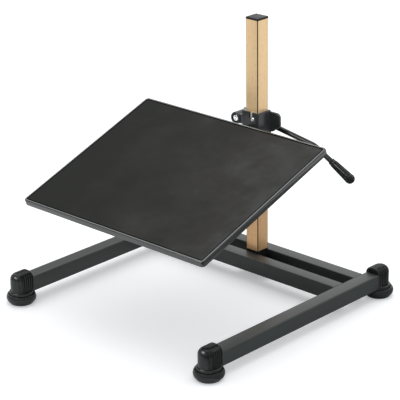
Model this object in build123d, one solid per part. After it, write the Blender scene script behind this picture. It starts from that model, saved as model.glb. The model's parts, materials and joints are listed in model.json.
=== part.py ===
from build123d import *
import math
import os

# A free-standing footrest: a dark steel base with a square post near its rear,
# a clamp carriage that slides on the post, and a tilting platform on the carriage.
# Frame: millimetres, +Z up, origin on the floor at the middle of the base,
# +X to the user's right, -Y towards the user.

# Base: overall sizes
rail_spacing = 515.0
foot_spacing = 503.5
post_to_rear_feet = 78.0

# Base: side rails and crossbars
rail_width = 32.0
rail_height = 32.4
rail_bottom = 20.4
rail_corner = 3.5
rail_wall = 2.0
rail_past_foot = 11.0
crossbar_width = 28.5
crossbar_height = 31.4
crossbar_corner = 1.2
crossbar_wall = 2.0
slot_clearance = 0.9

# Post, its cap and its fixing to the base
post_side = 32.0
post_wall = 2.5
post_corner = 1.2
tube_inner_corner = 0.4
post_top = 547.0
cap_thickness = 4.0
cap_overhang = 0.3
cap_edge_bevel = 0.8
cap_plug_depth = 16.0
cap_plug_wall = 2.5
plug_clearance = 0.1
plug_corner = 0.8
plug_height = 28.0
base_plate_width = 76.0
base_plate_margin = 5.0
base_plate_thickness = 5.0
base_plate_corner = 6.0
post_bolt_radius = 5.0
post_bolt_head_across = 17.0
post_bolt_head_height = 6.4
post_bolt_reach = 22.0
plate_screw_radius = 3.0
plate_screw_head_radius = 5.5
plate_screw_head_height = 3.0
plate_screw_reach = 9.0
plate_screw_spacing = 56.0
plate_screw_from_slot = 10.1
fixing_clearance = 0.05
bolt_hole_clearance = 0.3

# Boots on the rail ends
boot_wall = 2.0
boot_crown = 11.7
boot_skirt_lift = 0.1
boot_arch_radius = 14.0
boot_nose_offset = 4.0
boot_rim_from_foot = 20.6
boot_rim_fillet = 3.5
boot_flange_radius = 24.3
boot_flange_height = 8.3
boot_flange_gap = 2.0
boot_flange_fillet = 2.2
boot_groove_count = 7
boot_groove_width = 2.2
boot_groove_pitch = 5.2
boot_groove_depth = 1.0
boot_first_groove = 3.8
boot_socket_clearance = 0.15

# Levelling feet
foot_radius = 30.0
foot_floor_radius = 25.5
foot_widest_height = 11.0
foot_rim_radius = 28.0
foot_rim_gap = 0.5
foot_rim_round = 1.0
foot_dish_clearance = 0.9
foot_dish_depth = 4.5
sole_thickness = 3.0
sole_inset = 1.5
spindle_radius = 5.0
spindle_headroom = 5.0
spindle_collar = 3.0
spindle_seat_floor = 4.0
spindle_flange_height = 4.0
spindle_point = 1.0
running_clearance = 0.05
axial_clearance = 0.15
spindle_hole_clearance = 0.6
nut_wall = 3.5
nut_height = 8.0

# Clamp carriage on the post
carriage_top = 357.0
carriage_height = 70.0
carriage_wall = 4.35
carriage_corner = 2.0
carriage_rear_clearance = 0.3
liner_thickness = 1.5
liner_clearance = 0.15
liner_short_of_rear = 1.8
notch_left = -2.0
notch_width = 8.0
notch_depth = 12.0
tab_left = 1.6
tab_gap = 0.2
tab_inset = 0.8
liner_screw_x = 8.7
liner_screw_below_top = 14.0
liner_screw_radius = 2.0
liner_screw_head_radius = 4.2
liner_screw_head_height = 2.4
liner_screw_head_round = 1.2
tie_from_sleeve = 17.5
tie_below_top = 21.0
tie_boss_radius = 12.5
tie_boss_proud = 0.3
tie_web_half_height = 10.0
tie_bolt_radius = 4.0
tie_head_radius = 6.5
tie_head_height = 8.0
tie_counterbore_radius = 8.6
tie_counterbore_depth = 9.5
tie_hex_across = 6.0
tie_hex_depth = 4.0
tie_nut_across = 13.0
tie_nut_height = 6.5
tie_end = 2.0

# Rear plate of the carriage and its pressure shoe
rear_plate_thickness = 5.5
rear_plate_height = 33.0
rear_plate_past_tie = 12.5
rear_plate_right_ear = 23.5
rear_plate_corner = 10.0
ear_drop = 8.5
ear_drop_reach = 27.0
ear_slope_rise = 18.0
ear_drop_round = 4.0
apron_side_gap = 0.275
apron_thickness = 9.0
apron_lift = 9.0
apron_above_tie = 10.0
rear_boss_radius = 11.0
rear_boss_length = 3.0
side_screw_radius = 1.5
side_screw_head_radius = 3.4
side_screw_head_height = 3.2
side_screw_reach = 12.0
side_screw_spacing = 18.0
pocket_side_wall = 3.7
shoe_height = 30.0
shoe_thickness = 4.0
shoe_gap = 0.2

# Clamp lever
lever_below_top = 39.0
lever_screw_radius = 6.0
lever_screw_point = 1.0
hub_radius = 13.0
hub_length = 16.0
hub_gap = 0.4
hub_edge = 1.5
hub_pin_radius = 2.0
rod_radius = 5.4
rod_first_slope = 9.2
rod_bend_reach = 121.5
rod_second_slope = 28.3
rod_bend_radius = 45.0
rod_end_in_grip = 52.0
grip_start = 48.0
grip_length = 64.5
grip_neck_radius = 7.0
grip_collar_groove = 0.7
grip_shoulder_radius = 8.1
grip_shoulder_length = 6.0
grip_end_radius = 10.1
grip_collar = 4.0
grip_flute_count = 10
grip_flute_radius = 1.6
grip_flute_depth = 0.9

# Tilt hinge between carriage and platform
pivot_from_rear = 28.0
pivot_below_top = 36.0
knuckle_radius = 14.0
knuckle_half_width = 16.0
arm_half_width = 13.0
arm_root_lift = 2.0
arm_root_height = 38.0
bush_wall = 2.0
bush_length = 15.0
pivot_bolt_radius = 5.0
pivot_head_across = 17.0
pivot_head_height = 6.4
pivot_nut_height = 8.0
pivot_bolt_end = 3.0
washer_thickness = 1.5
washer_radius = 12.5
washer_gap = 0.1
ear_gap = 0.2
ear_thickness = 4.0
ear_radius = 14.0
ear_root_forward = 46.0

# Platform
platform_width = 482.0
platform_depth = 374.0
platform_thickness = 13.0
platform_corner = 8.0
platform_tilt = 19.6
platform_rear_from_post = 70.7
platform_below_carriage = 7.4
band_width = 4.0
band_top_round = 2.2
band_bottom_round = 1.5
board_clearance = 0.05
mat_groove = 1.0
mat_thickness = 2.0
mat_below_rim = 0.3
bracket_half_width = 60.0
bracket_forward = 112.0
bracket_thickness = 3.0
bracket_corner = 8.0
bracket_screw_radius = 2.2
bracket_screw_head_radius = 4.2
bracket_screw_head_height = 2.2
bracket_screw_reach = 7.0
bracket_screw_inset = 10.0

# Places worked out from the driving dimensions: base and feet
front_feet_y = -foot_spacing / 2
rear_feet_y = foot_spacing / 2
post_y = rear_feet_y - post_to_rear_feet
rail_x = rail_spacing / 2
rail_top = rail_bottom + rail_height
crossbar_length = rail_spacing - rail_width
slot_half = post_side / 2 + slot_clearance
crossbar_offset = slot_half + crossbar_width / 2
plate_screw_row = slot_half + plate_screw_from_slot
base_plate_depth = 2 * (plate_screw_row + base_plate_margin)
post_inner = post_side - 2 * post_wall
boot_half_width = rail_width / 2 + boot_wall
boot_top = rail_top + boot_crown
boot_bottom = rail_bottom + boot_skirt_lift
foot_rim_top = boot_bottom - foot_rim_gap
foot_dish_radius = boot_flange_radius + foot_dish_clearance
foot_dish_floor = foot_rim_top - foot_dish_depth
boot_flange_bottom = foot_dish_floor + boot_flange_gap
boot_flange_top = boot_flange_bottom + boot_flange_height
spindle_top = rail_top - rail_wall - spindle_headroom
spindle_flange_radius = spindle_radius + spindle_collar
spindle_flange_bottom = sole_thickness + spindle_seat_floor
nut_across = 2 * (spindle_radius + nut_wall)

# Places worked out from the driving dimensions: carriage, lever and hinge
bore_half = post_side / 2 + liner_clearance + liner_thickness
carriage_half = bore_half + carriage_wall
carriage_bottom = carriage_top - carriage_height
carriage_rear = post_side / 2 + carriage_rear_clearance
liner_rear = carriage_rear - liner_short_of_rear
liner_screw_z = carriage_top - liner_screw_below_top
tie_x = carriage_half + tie_from_sleeve
tie_z = carriage_top - tie_below_top
tie_boss_front = -carriage_half - tie_boss_proud
side_screw_x = bore_half + carriage_wall / 2
plate_front = carriage_rear
plate_back = plate_front + rear_plate_thickness
rear_plate_reach_left = tie_x + rear_plate_past_tie
rear_plate_reach_right = carriage_half + rear_plate_right_ear
apron_half_width = side_screw_x - side_screw_head_radius - apron_side_gap
apron_bottom = carriage_bottom + apron_lift
boss_back = plate_front + apron_thickness + rear_boss_length
shoe_front = post_side / 2 + shoe_gap
shoe_back = shoe_front + shoe_thickness
shoe_half_width = apron_half_width - pocket_side_wall - shoe_gap
lever_axis_height = carriage_top - lever_below_top
hub_front = boss_back + hub_gap
hub_back = hub_front + hub_length
rod_y = hub_front + hub_length / 2
arm_root_bottom = carriage_bottom + arm_root_lift
arm_root_top = arm_root_bottom + arm_root_height
bush_radius = pivot_bolt_radius + running_clearance + bush_wall
washer_inner = knuckle_half_width + washer_gap
ear_inner = washer_inner + washer_thickness + ear_gap
ear_outer = ear_inner + ear_thickness
platform_rear_height = carriage_top - platform_below_carriage

post_place = Pos(0, post_y, 0)
tilt = math.radians(platform_tilt)
platform_plane = Plane(
    origin=(0, post_y - platform_rear_from_post, platform_rear_height),
    x_dir=(1, 0, 0),
    z_dir=(0, -math.sin(tilt), math.cos(tilt)),
)
pivot_point = platform_plane.from_local_coords(Vector(0, -pivot_from_rear, -pivot_below_top))

# Lever rod: where it leaves the hub, where it bends, and any station after the bend
rod_start = Pos(0, rod_y, lever_axis_height) * Rot(0, rod_first_slope, 0)
rod_bend_drop = rod_bend_reach * math.tan(math.radians(rod_first_slope))
rod_bend = Vector(rod_bend_reach, rod_y, lever_axis_height - rod_bend_drop)


def grip_place(distance):
    """Place on the rod's second leg, this far past the bend, with X along the leg."""
    return Pos(rod_bend) * Rot(0, rod_second_slope, 0) * Pos(distance, 0, 0)


def tube_section(width, height, corner, wall):
    """Closed hollow section of a rectangular tube."""
    hole = RectangleRounded(width - 2 * wall, height - 2 * wall, max(corner - wall, tube_inner_corner))
    return RectangleRounded(width, height, corner) - hole


def along_x(radius, x_start, x_end, y, z):
    """Round bar along X between two stations."""
    plane = Plane(origin=(x_start, y, z), x_dir=(0, 1, 0), z_dir=(1, 0, 0))
    return extrude(plane * Circle(radius), x_end - x_start)


def along_y(radius, y_start, y_end, x, z):
    """Round bar along Y between two stations."""
    plane = Plane(origin=(x, y_start, z), x_dir=(1, 0, 0), z_dir=(0, 1, 0))
    return extrude(plane * Circle(radius), y_end - y_start)


def along_z(radius, z_start, z_end, x=0, y=0):
    """Upright round bar between two heights."""
    return extrude(Plane(origin=(x, y, z_start)) * Circle(radius), z_end - z_start)


def block(x_start, x_end, y_start, y_end, z_start, z_end):
    """Plain block between two opposite corners."""
    size = (x_end - x_start, y_end - y_start, z_end - z_start)
    return Pos(x_start, y_start, z_start) * Box(*size, align=(Align.MIN, Align.MIN, Align.MIN))


def hexagon(across):
    """Hexagon of a nut or bolt head, from its width across flats."""
    return RegularPolygon(across / 2, 6, major_radius=False)


# Base frame

def side_rail(x):
    """Side rail with a spindle hole over each of its two feet."""
    half_length = foot_spacing / 2 + rail_past_foot
    plane = Plane(
        origin=(x, -half_length, rail_bottom + rail_height / 2),
        x_dir=(1, 0, 0),
        z_dir=(0, 1, 0),
    )
    rail = extrude(plane * tube_section(rail_width, rail_height, rail_corner, rail_wall), 2 * half_length)
    for foot_y in (front_feet_y, rear_feet_y):
        hole_radius = spindle_radius + spindle_hole_clearance
        rail -= along_z(hole_radius, rail_bottom - 1, rail_bottom + rail_wall + 1, x, foot_y)
    return rail


def crossbar(side):
    """Crossbar in front of (-1) or behind (+1) the post, between the rails."""
    plane = Plane(
        origin=(-crossbar_length / 2, post_y + side * crossbar_offset, rail_bottom + crossbar_height / 2),
        x_dir=(0, 1, 0),
        z_dir=(1, 0, 0),
    )
    section = tube_section(crossbar_width, crossbar_height, crossbar_corner, crossbar_wall)
    bar = extrude(plane * section, crossbar_length)
    for x in (-plate_screw_spacing / 2, plate_screw_spacing / 2):
        y = post_y + side * plate_screw_row
        radius = plate_screw_radius + fixing_clearance
        bar -= along_z(radius, rail_bottom - 1, rail_bottom + crossbar_wall + 1, x, y)
    return bar


def post_tube():
    """Square post, standing on the base plate between the crossbars."""
    section = tube_section(post_side, post_side, post_corner, post_wall)
    return post_place * extrude(Plane(origin=(0, 0, rail_bottom)) * section, post_top - rail_bottom)


def post_cap():
    """Flat cap with a hollow plug that pushes into the post."""
    side = post_side + 2 * cap_overhang
    head_outline = RectangleRounded(side, side, post_corner)
    head = extrude(Plane(origin=(0, 0, post_top)) * head_outline, cap_thickness)
    head = chamfer(head.faces().sort_by(Axis.Z)[-1].edges(), cap_edge_bevel)
    plug_side = post_inner - 2 * plug_clearance
    hollow_side = plug_side - 2 * cap_plug_wall
    plug_plane = Plane(origin=(0, 0, post_top - cap_plug_depth))
    plug_ring = RectangleRounded(plug_side, plug_side, plug_corner) - Rectangle(hollow_side, hollow_side)
    plug = extrude(plug_plane * plug_ring, cap_plug_depth)
    return post_place * (head + plug)


def post_plug():
    """Threaded block in the foot of the post."""
    side = post_inner - 2 * plug_clearance
    outline = RectangleRounded(side, side, plug_corner)
    plug = extrude(Plane(origin=(0, 0, rail_bottom)) * outline, plug_height)
    plug -= along_z(post_bolt_radius + fixing_clearance, rail_bottom - 1, rail_bottom + plug_height + 1)
    return post_place * plug


def base_plate():
    """Plate under both crossbars that carries the post."""
    plate_bottom = rail_bottom - base_plate_thickness
    outline = RectangleRounded(base_plate_width, base_plate_depth, base_plate_corner)
    plate = extrude(Plane(origin=(0, 0, plate_bottom)) * outline, base_plate_thickness)
    plate -= along_z(post_bolt_radius + bolt_hole_clearance, plate_bottom - 1, rail_bottom + 1)
    hole_radius = plate_screw_radius + bolt_hole_clearance
    for x in (-plate_screw_spacing / 2, plate_screw_spacing / 2):
        for y in (-plate_screw_row, plate_screw_row):
            plate -= along_z(hole_radius, plate_bottom - 1, rail_bottom + 1, x, y)
    return post_place * plate


def post_bolt():
    """Bolt from below, through the base plate into the post's plug."""
    plate_bottom = rail_bottom - base_plate_thickness
    head_plane = Plane(origin=(0, 0, plate_bottom - post_bolt_head_height))
    head = extrude(head_plane * hexagon(post_bolt_head_across), post_bolt_head_height)
    return post_place * (head + along_z(post_bolt_radius, plate_bottom, rail_bottom + post_bolt_reach))


def base_plate_screws():
    """Four screws that hold the base plate to the crossbars."""
    plate_bottom = rail_bottom - base_plate_thickness
    head_bottom = plate_bottom - plate_screw_head_height
    screws = []
    for x in (-plate_screw_spacing / 2, plate_screw_spacing / 2):
        for y in (-plate_screw_row, plate_screw_row):
            head = along_z(plate_screw_head_radius, head_bottom, plate_bottom, x, y)
            shank = along_z(plate_screw_radius, plate_bottom, rail_bottom + plate_screw_reach, x, y)
            screws.append(post_place * (head + shank))
    return screws


# Boots and levelling feet, made about the foot's own upright axis

def arch_outline(inset):
    """Arched cross-section of a boot, drawn in by a distance all round but the foot."""
    half = boot_half_width - inset
    top = boot_top - inset
    outline = Pos(0, (top + boot_bottom) / 2) * Rectangle(2 * half, top - boot_bottom)
    return fillet(outline.vertices().group_by(Axis.Y)[-1], boot_arch_radius - inset)


def boot_shell(inset):
    """Sleeve and rounded nose of a boot, drawn in by a distance; its nose is towards -Y."""
    rim_plane = Plane(origin=(0, boot_rim_from_foot, 0), x_dir=(1, 0, 0), z_dir=(0, -1, 0))
    sleeve = extrude(rim_plane * arch_outline(inset), boot_rim_from_foot + boot_nose_offset)
    rim_edges = sleeve.faces().sort_by(Axis.Y)[-1].edges().sort_by(Axis.Z)[1:]
    sleeve = fillet(rim_edges, boot_rim_fillet)
    nose_plane = Plane(origin=(0, -boot_nose_offset, 0), x_dir=(1, 0, 0), z_dir=(0, -1, 0))
    right_half = Pos(boot_half_width, boot_top / 2) * Rectangle(2 * boot_half_width, 2 * boot_top)
    nose_axis = Axis((0, -boot_nose_offset, 0), (0, 0, -1))
    return sleeve + revolve(nose_plane * (arch_outline(inset) & right_half), nose_axis, 180)


def boot():
    """Ribbed boot with its rounded nose towards -Y, over the end of a rail."""
    flange = along_z(boot_flange_radius, boot_flange_bottom, boot_flange_top)
    flange = fillet(flange.faces().sort_by(Axis.Z)[-1].edges(), boot_flange_fillet)
    shape = boot_shell(0) + flange
    groove_core = boot_shell(boot_groove_depth)
    for index in range(boot_groove_count):
        groove_end = boot_rim_from_foot - boot_first_groove - index * boot_groove_pitch
        slab = block(-foot_radius, foot_radius, groove_end - boot_groove_width, groove_end,
                     boot_flange_top, boot_top + 1)
        shape -= slab - groove_core
    socket = RectangleRounded(
        rail_width + 2 * boot_socket_clearance,
        rail_height + 2 * boot_socket_clearance,
        rail_corner,
    )
    socket_plane = Plane(
        origin=(0, boot_flange_radius + 1, rail_bottom + rail_height / 2),
        x_dir=(1, 0, 0),
        z_dir=(0, -1, 0),
    )
    socket_depth = boot_flange_radius + 1 + rail_past_foot + boot_socket_clearance
    shape -= extrude(socket_plane * socket, socket_depth)
    shape -= along_z(spindle_radius + spindle_hole_clearance, boot_flange_bottom - 1, rail_bottom + 1)
    return shape


def foot_disc():
    """Round levelling foot with a bulging side, a raised rim and a dished top."""
    side = ThreePointArc(
        (foot_floor_radius, sole_thickness),
        (foot_radius, foot_widest_height),
        (foot_rim_radius, foot_rim_top - foot_rim_round),
    )
    rim = Polyline(
        side @ 1,
        (foot_rim_radius - foot_rim_round, foot_rim_top),
        (foot_dish_radius, foot_rim_top),
        (foot_dish_radius, foot_dish_floor),
        (0, foot_dish_floor),
        (0, sole_thickness),
        side @ 0,
    )
    disc = revolve(Plane.XZ * make_face(Curve() + [side, rim]), Axis.Z)
    seat_bottom = spindle_flange_bottom - axial_clearance
    seat_top = spindle_flange_bottom + spindle_flange_height + axial_clearance
    disc -= along_z(spindle_flange_radius + running_clearance, seat_bottom, seat_top)
    return disc - along_z(spindle_radius + running_clearance, seat_top - 1, foot_dish_floor + 1)


def foot_sole():
    """Rubber sole under the foot."""
    sole = along_z(foot_floor_radius - sole_inset, 0, sole_thickness)
    return fillet(sole.faces().sort_by(Axis.Z)[0].edges(), sole_inset)


def foot_spindle():
    """Threaded spindle, held by its flange inside the foot and screwed into the rail's nut."""
    flange_top = spindle_flange_bottom + spindle_flange_height
    shank = along_z(spindle_radius, flange_top, spindle_top)
    shank = chamfer(shank.faces().sort_by(Axis.Z)[-1].edges(), spindle_point)
    return shank + along_z(spindle_flange_radius, spindle_flange_bottom, flange_top)


def levelling_nut():
    """Nut welded on the floor of the rail for the spindle."""
    seat = rail_bottom + rail_wall
    bored = hexagon(nut_across) - Circle(spindle_radius + running_clearance)
    return extrude(Plane(origin=(0, 0, seat)) * bored, nut_height)


# Clamp carriage, made about the post's axis

def clamp_body():
    """Three-sided sleeve with the tie boss on its left and the hinge arm in front."""
    shell = block(-carriage_half, carriage_half, -carriage_half, carriage_rear,
                  carriage_bottom, carriage_top)
    shell = fillet(shell.edges().filter_by(Axis.Z).group_by(Axis.Y)[0], carriage_corner)
    boss = along_y(tie_boss_radius, tie_boss_front, carriage_rear, -tie_x, tie_z)
    boss = fillet(boss.faces().sort_by(Axis.Y)[0].edges(), carriage_corner)
    web = block(-tie_x, -bore_half, -carriage_half + carriage_corner, carriage_rear,
                tie_z - tie_web_half_height, tie_z + tie_web_half_height)
    pivot_y = pivot_point.Y - post_y
    arm_outline = Polyline(
        (-bore_half, arm_root_bottom),
        (-bore_half, arm_root_top),
        (pivot_y, pivot_point.Z + knuckle_radius),
        (pivot_y, pivot_point.Z - knuckle_radius),
        close=True,
    )
    arm_plane = Plane(origin=(-arm_half_width, 0, 0), x_dir=(0, 1, 0), z_dir=(1, 0, 0))
    arm = extrude(arm_plane * make_face(arm_outline), 2 * arm_half_width)
    knuckle = along_x(knuckle_radius, -knuckle_half_width, knuckle_half_width, pivot_y, pivot_point.Z)
    body = shell + boss + web + arm + knuckle
    body -= block(-bore_half, bore_half, -bore_half, carriage_rear + 1,
                  carriage_bottom - 1, carriage_top + 1)
    body -= block(notch_left, notch_left + notch_width, -carriage_half - 1, -bore_half + 1,
                  carriage_top - notch_depth, carriage_top + 1)
    body -= along_x(bush_radius, -knuckle_half_width - 1, knuckle_half_width + 1, pivot_y, pivot_point.Z)
    tie_hole = tie_bolt_radius + bolt_hole_clearance
    body -= along_y(tie_hole, tie_boss_front - 1, carriage_rear + 1, -tie_x, tie_z)
    counterbore_end = tie_boss_front + tie_counterbore_depth
    body -= along_y(tie_counterbore_radius, tie_boss_front - 1, counterbore_end, -tie_x, tie_z)
    liner_hole = liner_screw_radius + fixing_clearance
    body -= along_y(liner_hole, -carriage_half - 1, -bore_half + 1, liner_screw_x, liner_screw_z)
    side_hole = side_screw_radius + fixing_clearance
    side_hole_end = carriage_rear - side_screw_reach - 1
    for x, z in side_screw_places():
        body -= along_y(side_hole, side_hole_end, carriage_rear + 1, x, z)
    return post_place * body


def side_screw_places():
    """Where the two side screws enter the sleeve's right wall."""
    lower = tie_z - side_screw_spacing / 2
    upper = tie_z + side_screw_spacing / 2
    return [(side_screw_x, lower), (side_screw_x, upper)]


def glide_liner():
    """Slippery liner between the sleeve and the post, with a tab in the sleeve's notch."""
    outer = bore_half - fixing_clearance
    inner = post_side / 2 + liner_clearance
    liner = block(-outer, outer, -outer, liner_rear, carriage_bottom, carriage_top)
    liner -= block(-inner, inner, -inner, liner_rear + 1, carriage_bottom - 1, carriage_top + 1)
    tab_right = notch_left + notch_width - tab_gap
    liner += block(tab_left, tab_right, -carriage_half + tab_inset, -inner,
                   carriage_top - notch_depth + tab_gap, carriage_top)
    hole_radius = liner_screw_radius + fixing_clearance
    hole = along_y(hole_radius, -outer - 1, -inner + 1, liner_screw_x, liner_screw_z)
    return post_place * (liner - hole)


def liner_screw():
    """Small screw through the sleeve's front wall that holds the liner."""
    head_front = -carriage_half - liner_screw_head_height
    head = along_y(liner_screw_head_radius, head_front, -carriage_half, liner_screw_x, liner_screw_z)
    head = fillet(head.faces().sort_by(Axis.Y)[0].edges(), liner_screw_head_round)
    shank_end = -post_side / 2 - liner_clearance - fixing_clearance
    shank = along_y(liner_screw_radius, -carriage_half, shank_end, liner_screw_x, liner_screw_z)
    return post_place * (head + shank)


def clamp_rear_plate():
    """Eared plate that closes the sleeve behind the post and carries the lever screw."""
    ears_plane = Plane(origin=(0, plate_front, 0), x_dir=(1, 0, 0), z_dir=(0, 1, 0))
    ears_width = rear_plate_reach_left + rear_plate_reach_right
    ears_x = (rear_plate_reach_right - rear_plate_reach_left) / 2
    ears = Pos(ears_x, -tie_z) * RectangleRounded(ears_width, rear_plate_height, rear_plate_corner)
    ears_bottom = -tie_z + rear_plate_height / 2
    drop_outline = Polyline(
        (0, -tie_z),
        (rear_plate_reach_right, -tie_z),
        (rear_plate_reach_right, ears_bottom + ear_drop - ear_slope_rise),
        (ear_drop_reach, ears_bottom + ear_drop),
        (0, ears_bottom + ear_drop),
        close=True,
    )
    drop = make_face(drop_outline)
    drop = fillet(drop.vertices().sort_by(Axis.X)[2:], ear_drop_round)
    plate = extrude(ears_plane * ears, rear_plate_thickness)
    plate += extrude(ears_plane * drop, rear_plate_thickness)
    apron = block(-apron_half_width, apron_half_width, plate_front, plate_front + apron_thickness,
                  apron_bottom, tie_z + apron_above_tie)
    plate += fillet(apron.edges().filter_by(Axis.Y), carriage_corner)
    plate += along_y(rear_boss_radius, plate_front, boss_back, 0, lever_axis_height)
    pocket_half = shoe_half_width + shoe_gap
    pocket_reach = shoe_height / 2 + shoe_gap
    plate -= block(-pocket_half, pocket_half, plate_front - 1, shoe_back + shoe_gap,
                   lever_axis_height - pocket_reach, lever_axis_height + pocket_reach)
    lever_hole = lever_screw_radius + running_clearance
    plate -= along_y(lever_hole, plate_front - 1, boss_back + 1, 0, lever_axis_height)
    tie_hole = tie_bolt_radius + bolt_hole_clearance
    plate -= along_y(tie_hole, plate_front - 1, plate_back + 1, -tie_x, tie_z)
    for x, z in side_screw_places():
        plate -= along_y(side_screw_radius + bolt_hole_clearance, plate_front - 1, plate_back + 1, x, z)
    return post_place * plate


def tie_bolt():
    """Bright socket-head bolt through the left boss and the rear plate."""
    head_front = tie_boss_front + tie_counterbore_depth - tie_head_height
    head = along_y(tie_head_radius, head_front, head_front + tie_head_height, -tie_x, tie_z)
    socket_plane = Plane(origin=(-tie_x, head_front, tie_z), x_dir=(1, 0, 0), z_dir=(0, 1, 0))
    head -= extrude(socket_plane * hexagon(tie_hex_across), tie_hex_depth)
    end = plate_back + tie_nut_height + tie_end
    shank = along_y(tie_bolt_radius, head_front + tie_head_height, end, -tie_x, tie_z)
    return post_place * (head + shank)


def tie_nut():
    """Nut of the tie bolt, behind the rear plate."""
    plane = Plane(origin=(-tie_x, plate_back, tie_z), x_dir=(1, 0, 0), z_dir=(0, 1, 0))
    bored = hexagon(tie_nut_across) - Circle(tie_bolt_radius + fixing_clearance)
    return post_place * extrude(plane * bored, tie_nut_height)


def side_screws():
    """Two screws that hold the rear plate to the sleeve's right wall."""
    screws = []
    for x, z in side_screw_places():
        head = along_y(side_screw_head_radius, plate_back, plate_back + side_screw_head_height, x, z)
        shank = along_y(side_screw_radius, carriage_rear - side_screw_reach, plate_back, x, z)
        screws.append(post_place * (head + shank))
    return screws


def pressure_shoe():
    """Pad between the post and the lever screw, in the rear plate's pocket."""
    shoe = block(-shoe_half_width, shoe_half_width, shoe_front, shoe_back,
                 lever_axis_height - shoe_height / 2, lever_axis_height + shoe_height / 2)
    return post_place * shoe


def pivot_bushes():
    """Two bushes pressed into the knuckle of the hinge arm."""
    bushes = []
    for side in (-1, 1):
        start = side * (knuckle_half_width - bush_length)
        end = side * knuckle_half_width
        y = pivot_point.Y
        bush = along_x(bush_radius, start, end, y, pivot_point.Z)
        bushes.append(bush - along_x(pivot_bolt_radius + running_clearance, start, end, y, pivot_point.Z))
    return bushes


def friction_washers():
    """Washers between the knuckle and the bracket's ears that hold the tilt."""
    washers = []
    for side in (-1, 1):
        start = side * washer_inner
        end = side * (washer_inner + washer_thickness)
        washer = along_x(washer_radius, start, end, pivot_point.Y, pivot_point.Z)
        bore = along_x(pivot_bolt_radius + running_clearance, start, end, pivot_point.Y, pivot_point.Z)
        washers.append(washer - bore)
    return washers


# Clamp lever, made about the post's axis

def lever_screw():
    """Screw through the rear plate that presses the shoe against the post."""
    screw = along_y(lever_screw_radius, shoe_back + shoe_gap, hub_back, 0, lever_axis_height)
    screw = chamfer(screw.faces().sort_by(Axis.Y)[0].edges(), lever_screw_point)
    pin_reach = lever_screw_radius + 1
    pin_hole = along_z(hub_pin_radius + fixing_clearance, lever_axis_height - pin_reach,
                       lever_axis_height + pin_reach, 0, rod_y)
    return post_place * (screw - pin_hole)


def lever_hub():
    """Round hub on the end of the lever screw, with a side hole for the rod."""
    hub = along_y(hub_radius, hub_front, hub_back, 0, lever_axis_height)
    hub = fillet(hub.faces().sort_by(Axis.Y)[-1].edges(), hub_edge)
    hub -= along_y(lever_screw_radius + fixing_clearance, hub_front - 1, hub_back + 1, 0, lever_axis_height)
    hub -= along_z(hub_pin_radius + fixing_clearance, lever_axis_height - hub_radius,
                   lever_axis_height + hub_radius, 0, rod_y)
    hole = along_x(rod_radius + fixing_clearance, 0, hub_radius + 1, 0, 0)
    return post_place * (hub - rod_start * hole)


def hub_pin():
    """Pin that locks the hub to the lever screw."""
    return post_place * along_z(hub_pin_radius, lever_axis_height - hub_radius,
                                lever_axis_height + hub_radius, 0, rod_y)


def lever_rod():
    """Bent rod from the hub into the grip."""
    start = rod_start * Pos(lever_screw_radius + 1, 0, 0)
    end = grip_place(rod_end_in_grip)
    path = FilletPolyline(start.position, rod_bend, end.position, radius=rod_bend_radius)
    section = Plane(origin=start.position, z_dir=path % 0) * Circle(rod_radius)
    return post_place * sweep(section, path)


def lever_grip():
    """Fluted grip with a collar at its neck, a rounded shoulder and a rounded end."""
    round_start = grip_length - grip_end_radius
    shoulder_start = grip_collar + grip_collar_groove
    shoulder_end = grip_collar + grip_shoulder_length
    groove_radius = grip_neck_radius - grip_collar_groove
    outline = Polyline(
        (0, 0),
        (0, grip_neck_radius),
        (grip_collar, grip_neck_radius),
        (grip_collar, groove_radius),
        (shoulder_start, grip_neck_radius),
        (shoulder_end, grip_shoulder_radius),
        (round_start, grip_end_radius),
    )
    tip = RadiusArc((round_start, grip_end_radius), (grip_length, 0), grip_end_radius)
    axis_line = Line((grip_length, 0), (0, 0))
    grip = revolve(make_face(Curve() + [outline, tip, axis_line]), Axis.X)
    taper = math.degrees(math.atan2(grip_end_radius - grip_shoulder_radius, round_start - shoulder_end))
    flute_length = round_start - shoulder_end - 1
    flute_lift = grip_shoulder_radius + grip_flute_radius - grip_flute_depth
    for index in range(grip_flute_count):
        flute = along_x(grip_flute_radius, 0, flute_length, 0, 0)
        turn = Rot(index * 360 / grip_flute_count, 0, 0)
        grip -= turn * Pos(shoulder_end, 0, flute_lift) * Rot(0, -taper, 0) * flute
    grip -= along_x(rod_radius + fixing_clearance, -1, rod_end_in_grip - grip_start + 1, 0, 0)
    return post_place * grip_place(grip_start) * grip


# Platform, made in its own frame: rear top edge at the origin, +Y to the rear

def platform_outline(inset):
    """Rounded outline of the platform, drawn in by a distance."""
    width = platform_width - 2 * inset
    depth = platform_depth - 2 * inset
    return Pos(0, -platform_depth / 2) * RectangleRounded(width, depth, platform_corner - inset)


def edge_band():
    """Rounded band round the platform's edge."""
    rim = extrude(Plane(origin=(0, 0, -platform_thickness)) * platform_outline(0), platform_thickness)
    rim = fillet(rim.faces().sort_by(Axis.Z)[-1].edges(), band_top_round)
    rim = fillet(rim.faces().sort_by(Axis.Z)[0].edges(), band_bottom_round)
    inside_plane = Plane(origin=(0, 0, -platform_thickness - 1))
    inside = extrude(inside_plane * platform_outline(band_width), platform_thickness + 2)
    return platform_plane.location * (rim - inside)


def platform_board():
    """Stiff board inside the edge band."""
    board_top = -mat_below_rim - mat_thickness
    outline = platform_outline(band_width + board_clearance)
    board = extrude(Plane(origin=(0, 0, -platform_thickness)) * outline, platform_thickness + board_top)
    hole_radius = bracket_screw_radius + fixing_clearance
    hole_end = -platform_thickness + bracket_screw_reach
    for x, y in bracket_screw_places():
        board -= along_z(hole_radius, -platform_thickness - 1, hole_end, x, y)
    return platform_plane.location * board


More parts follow.
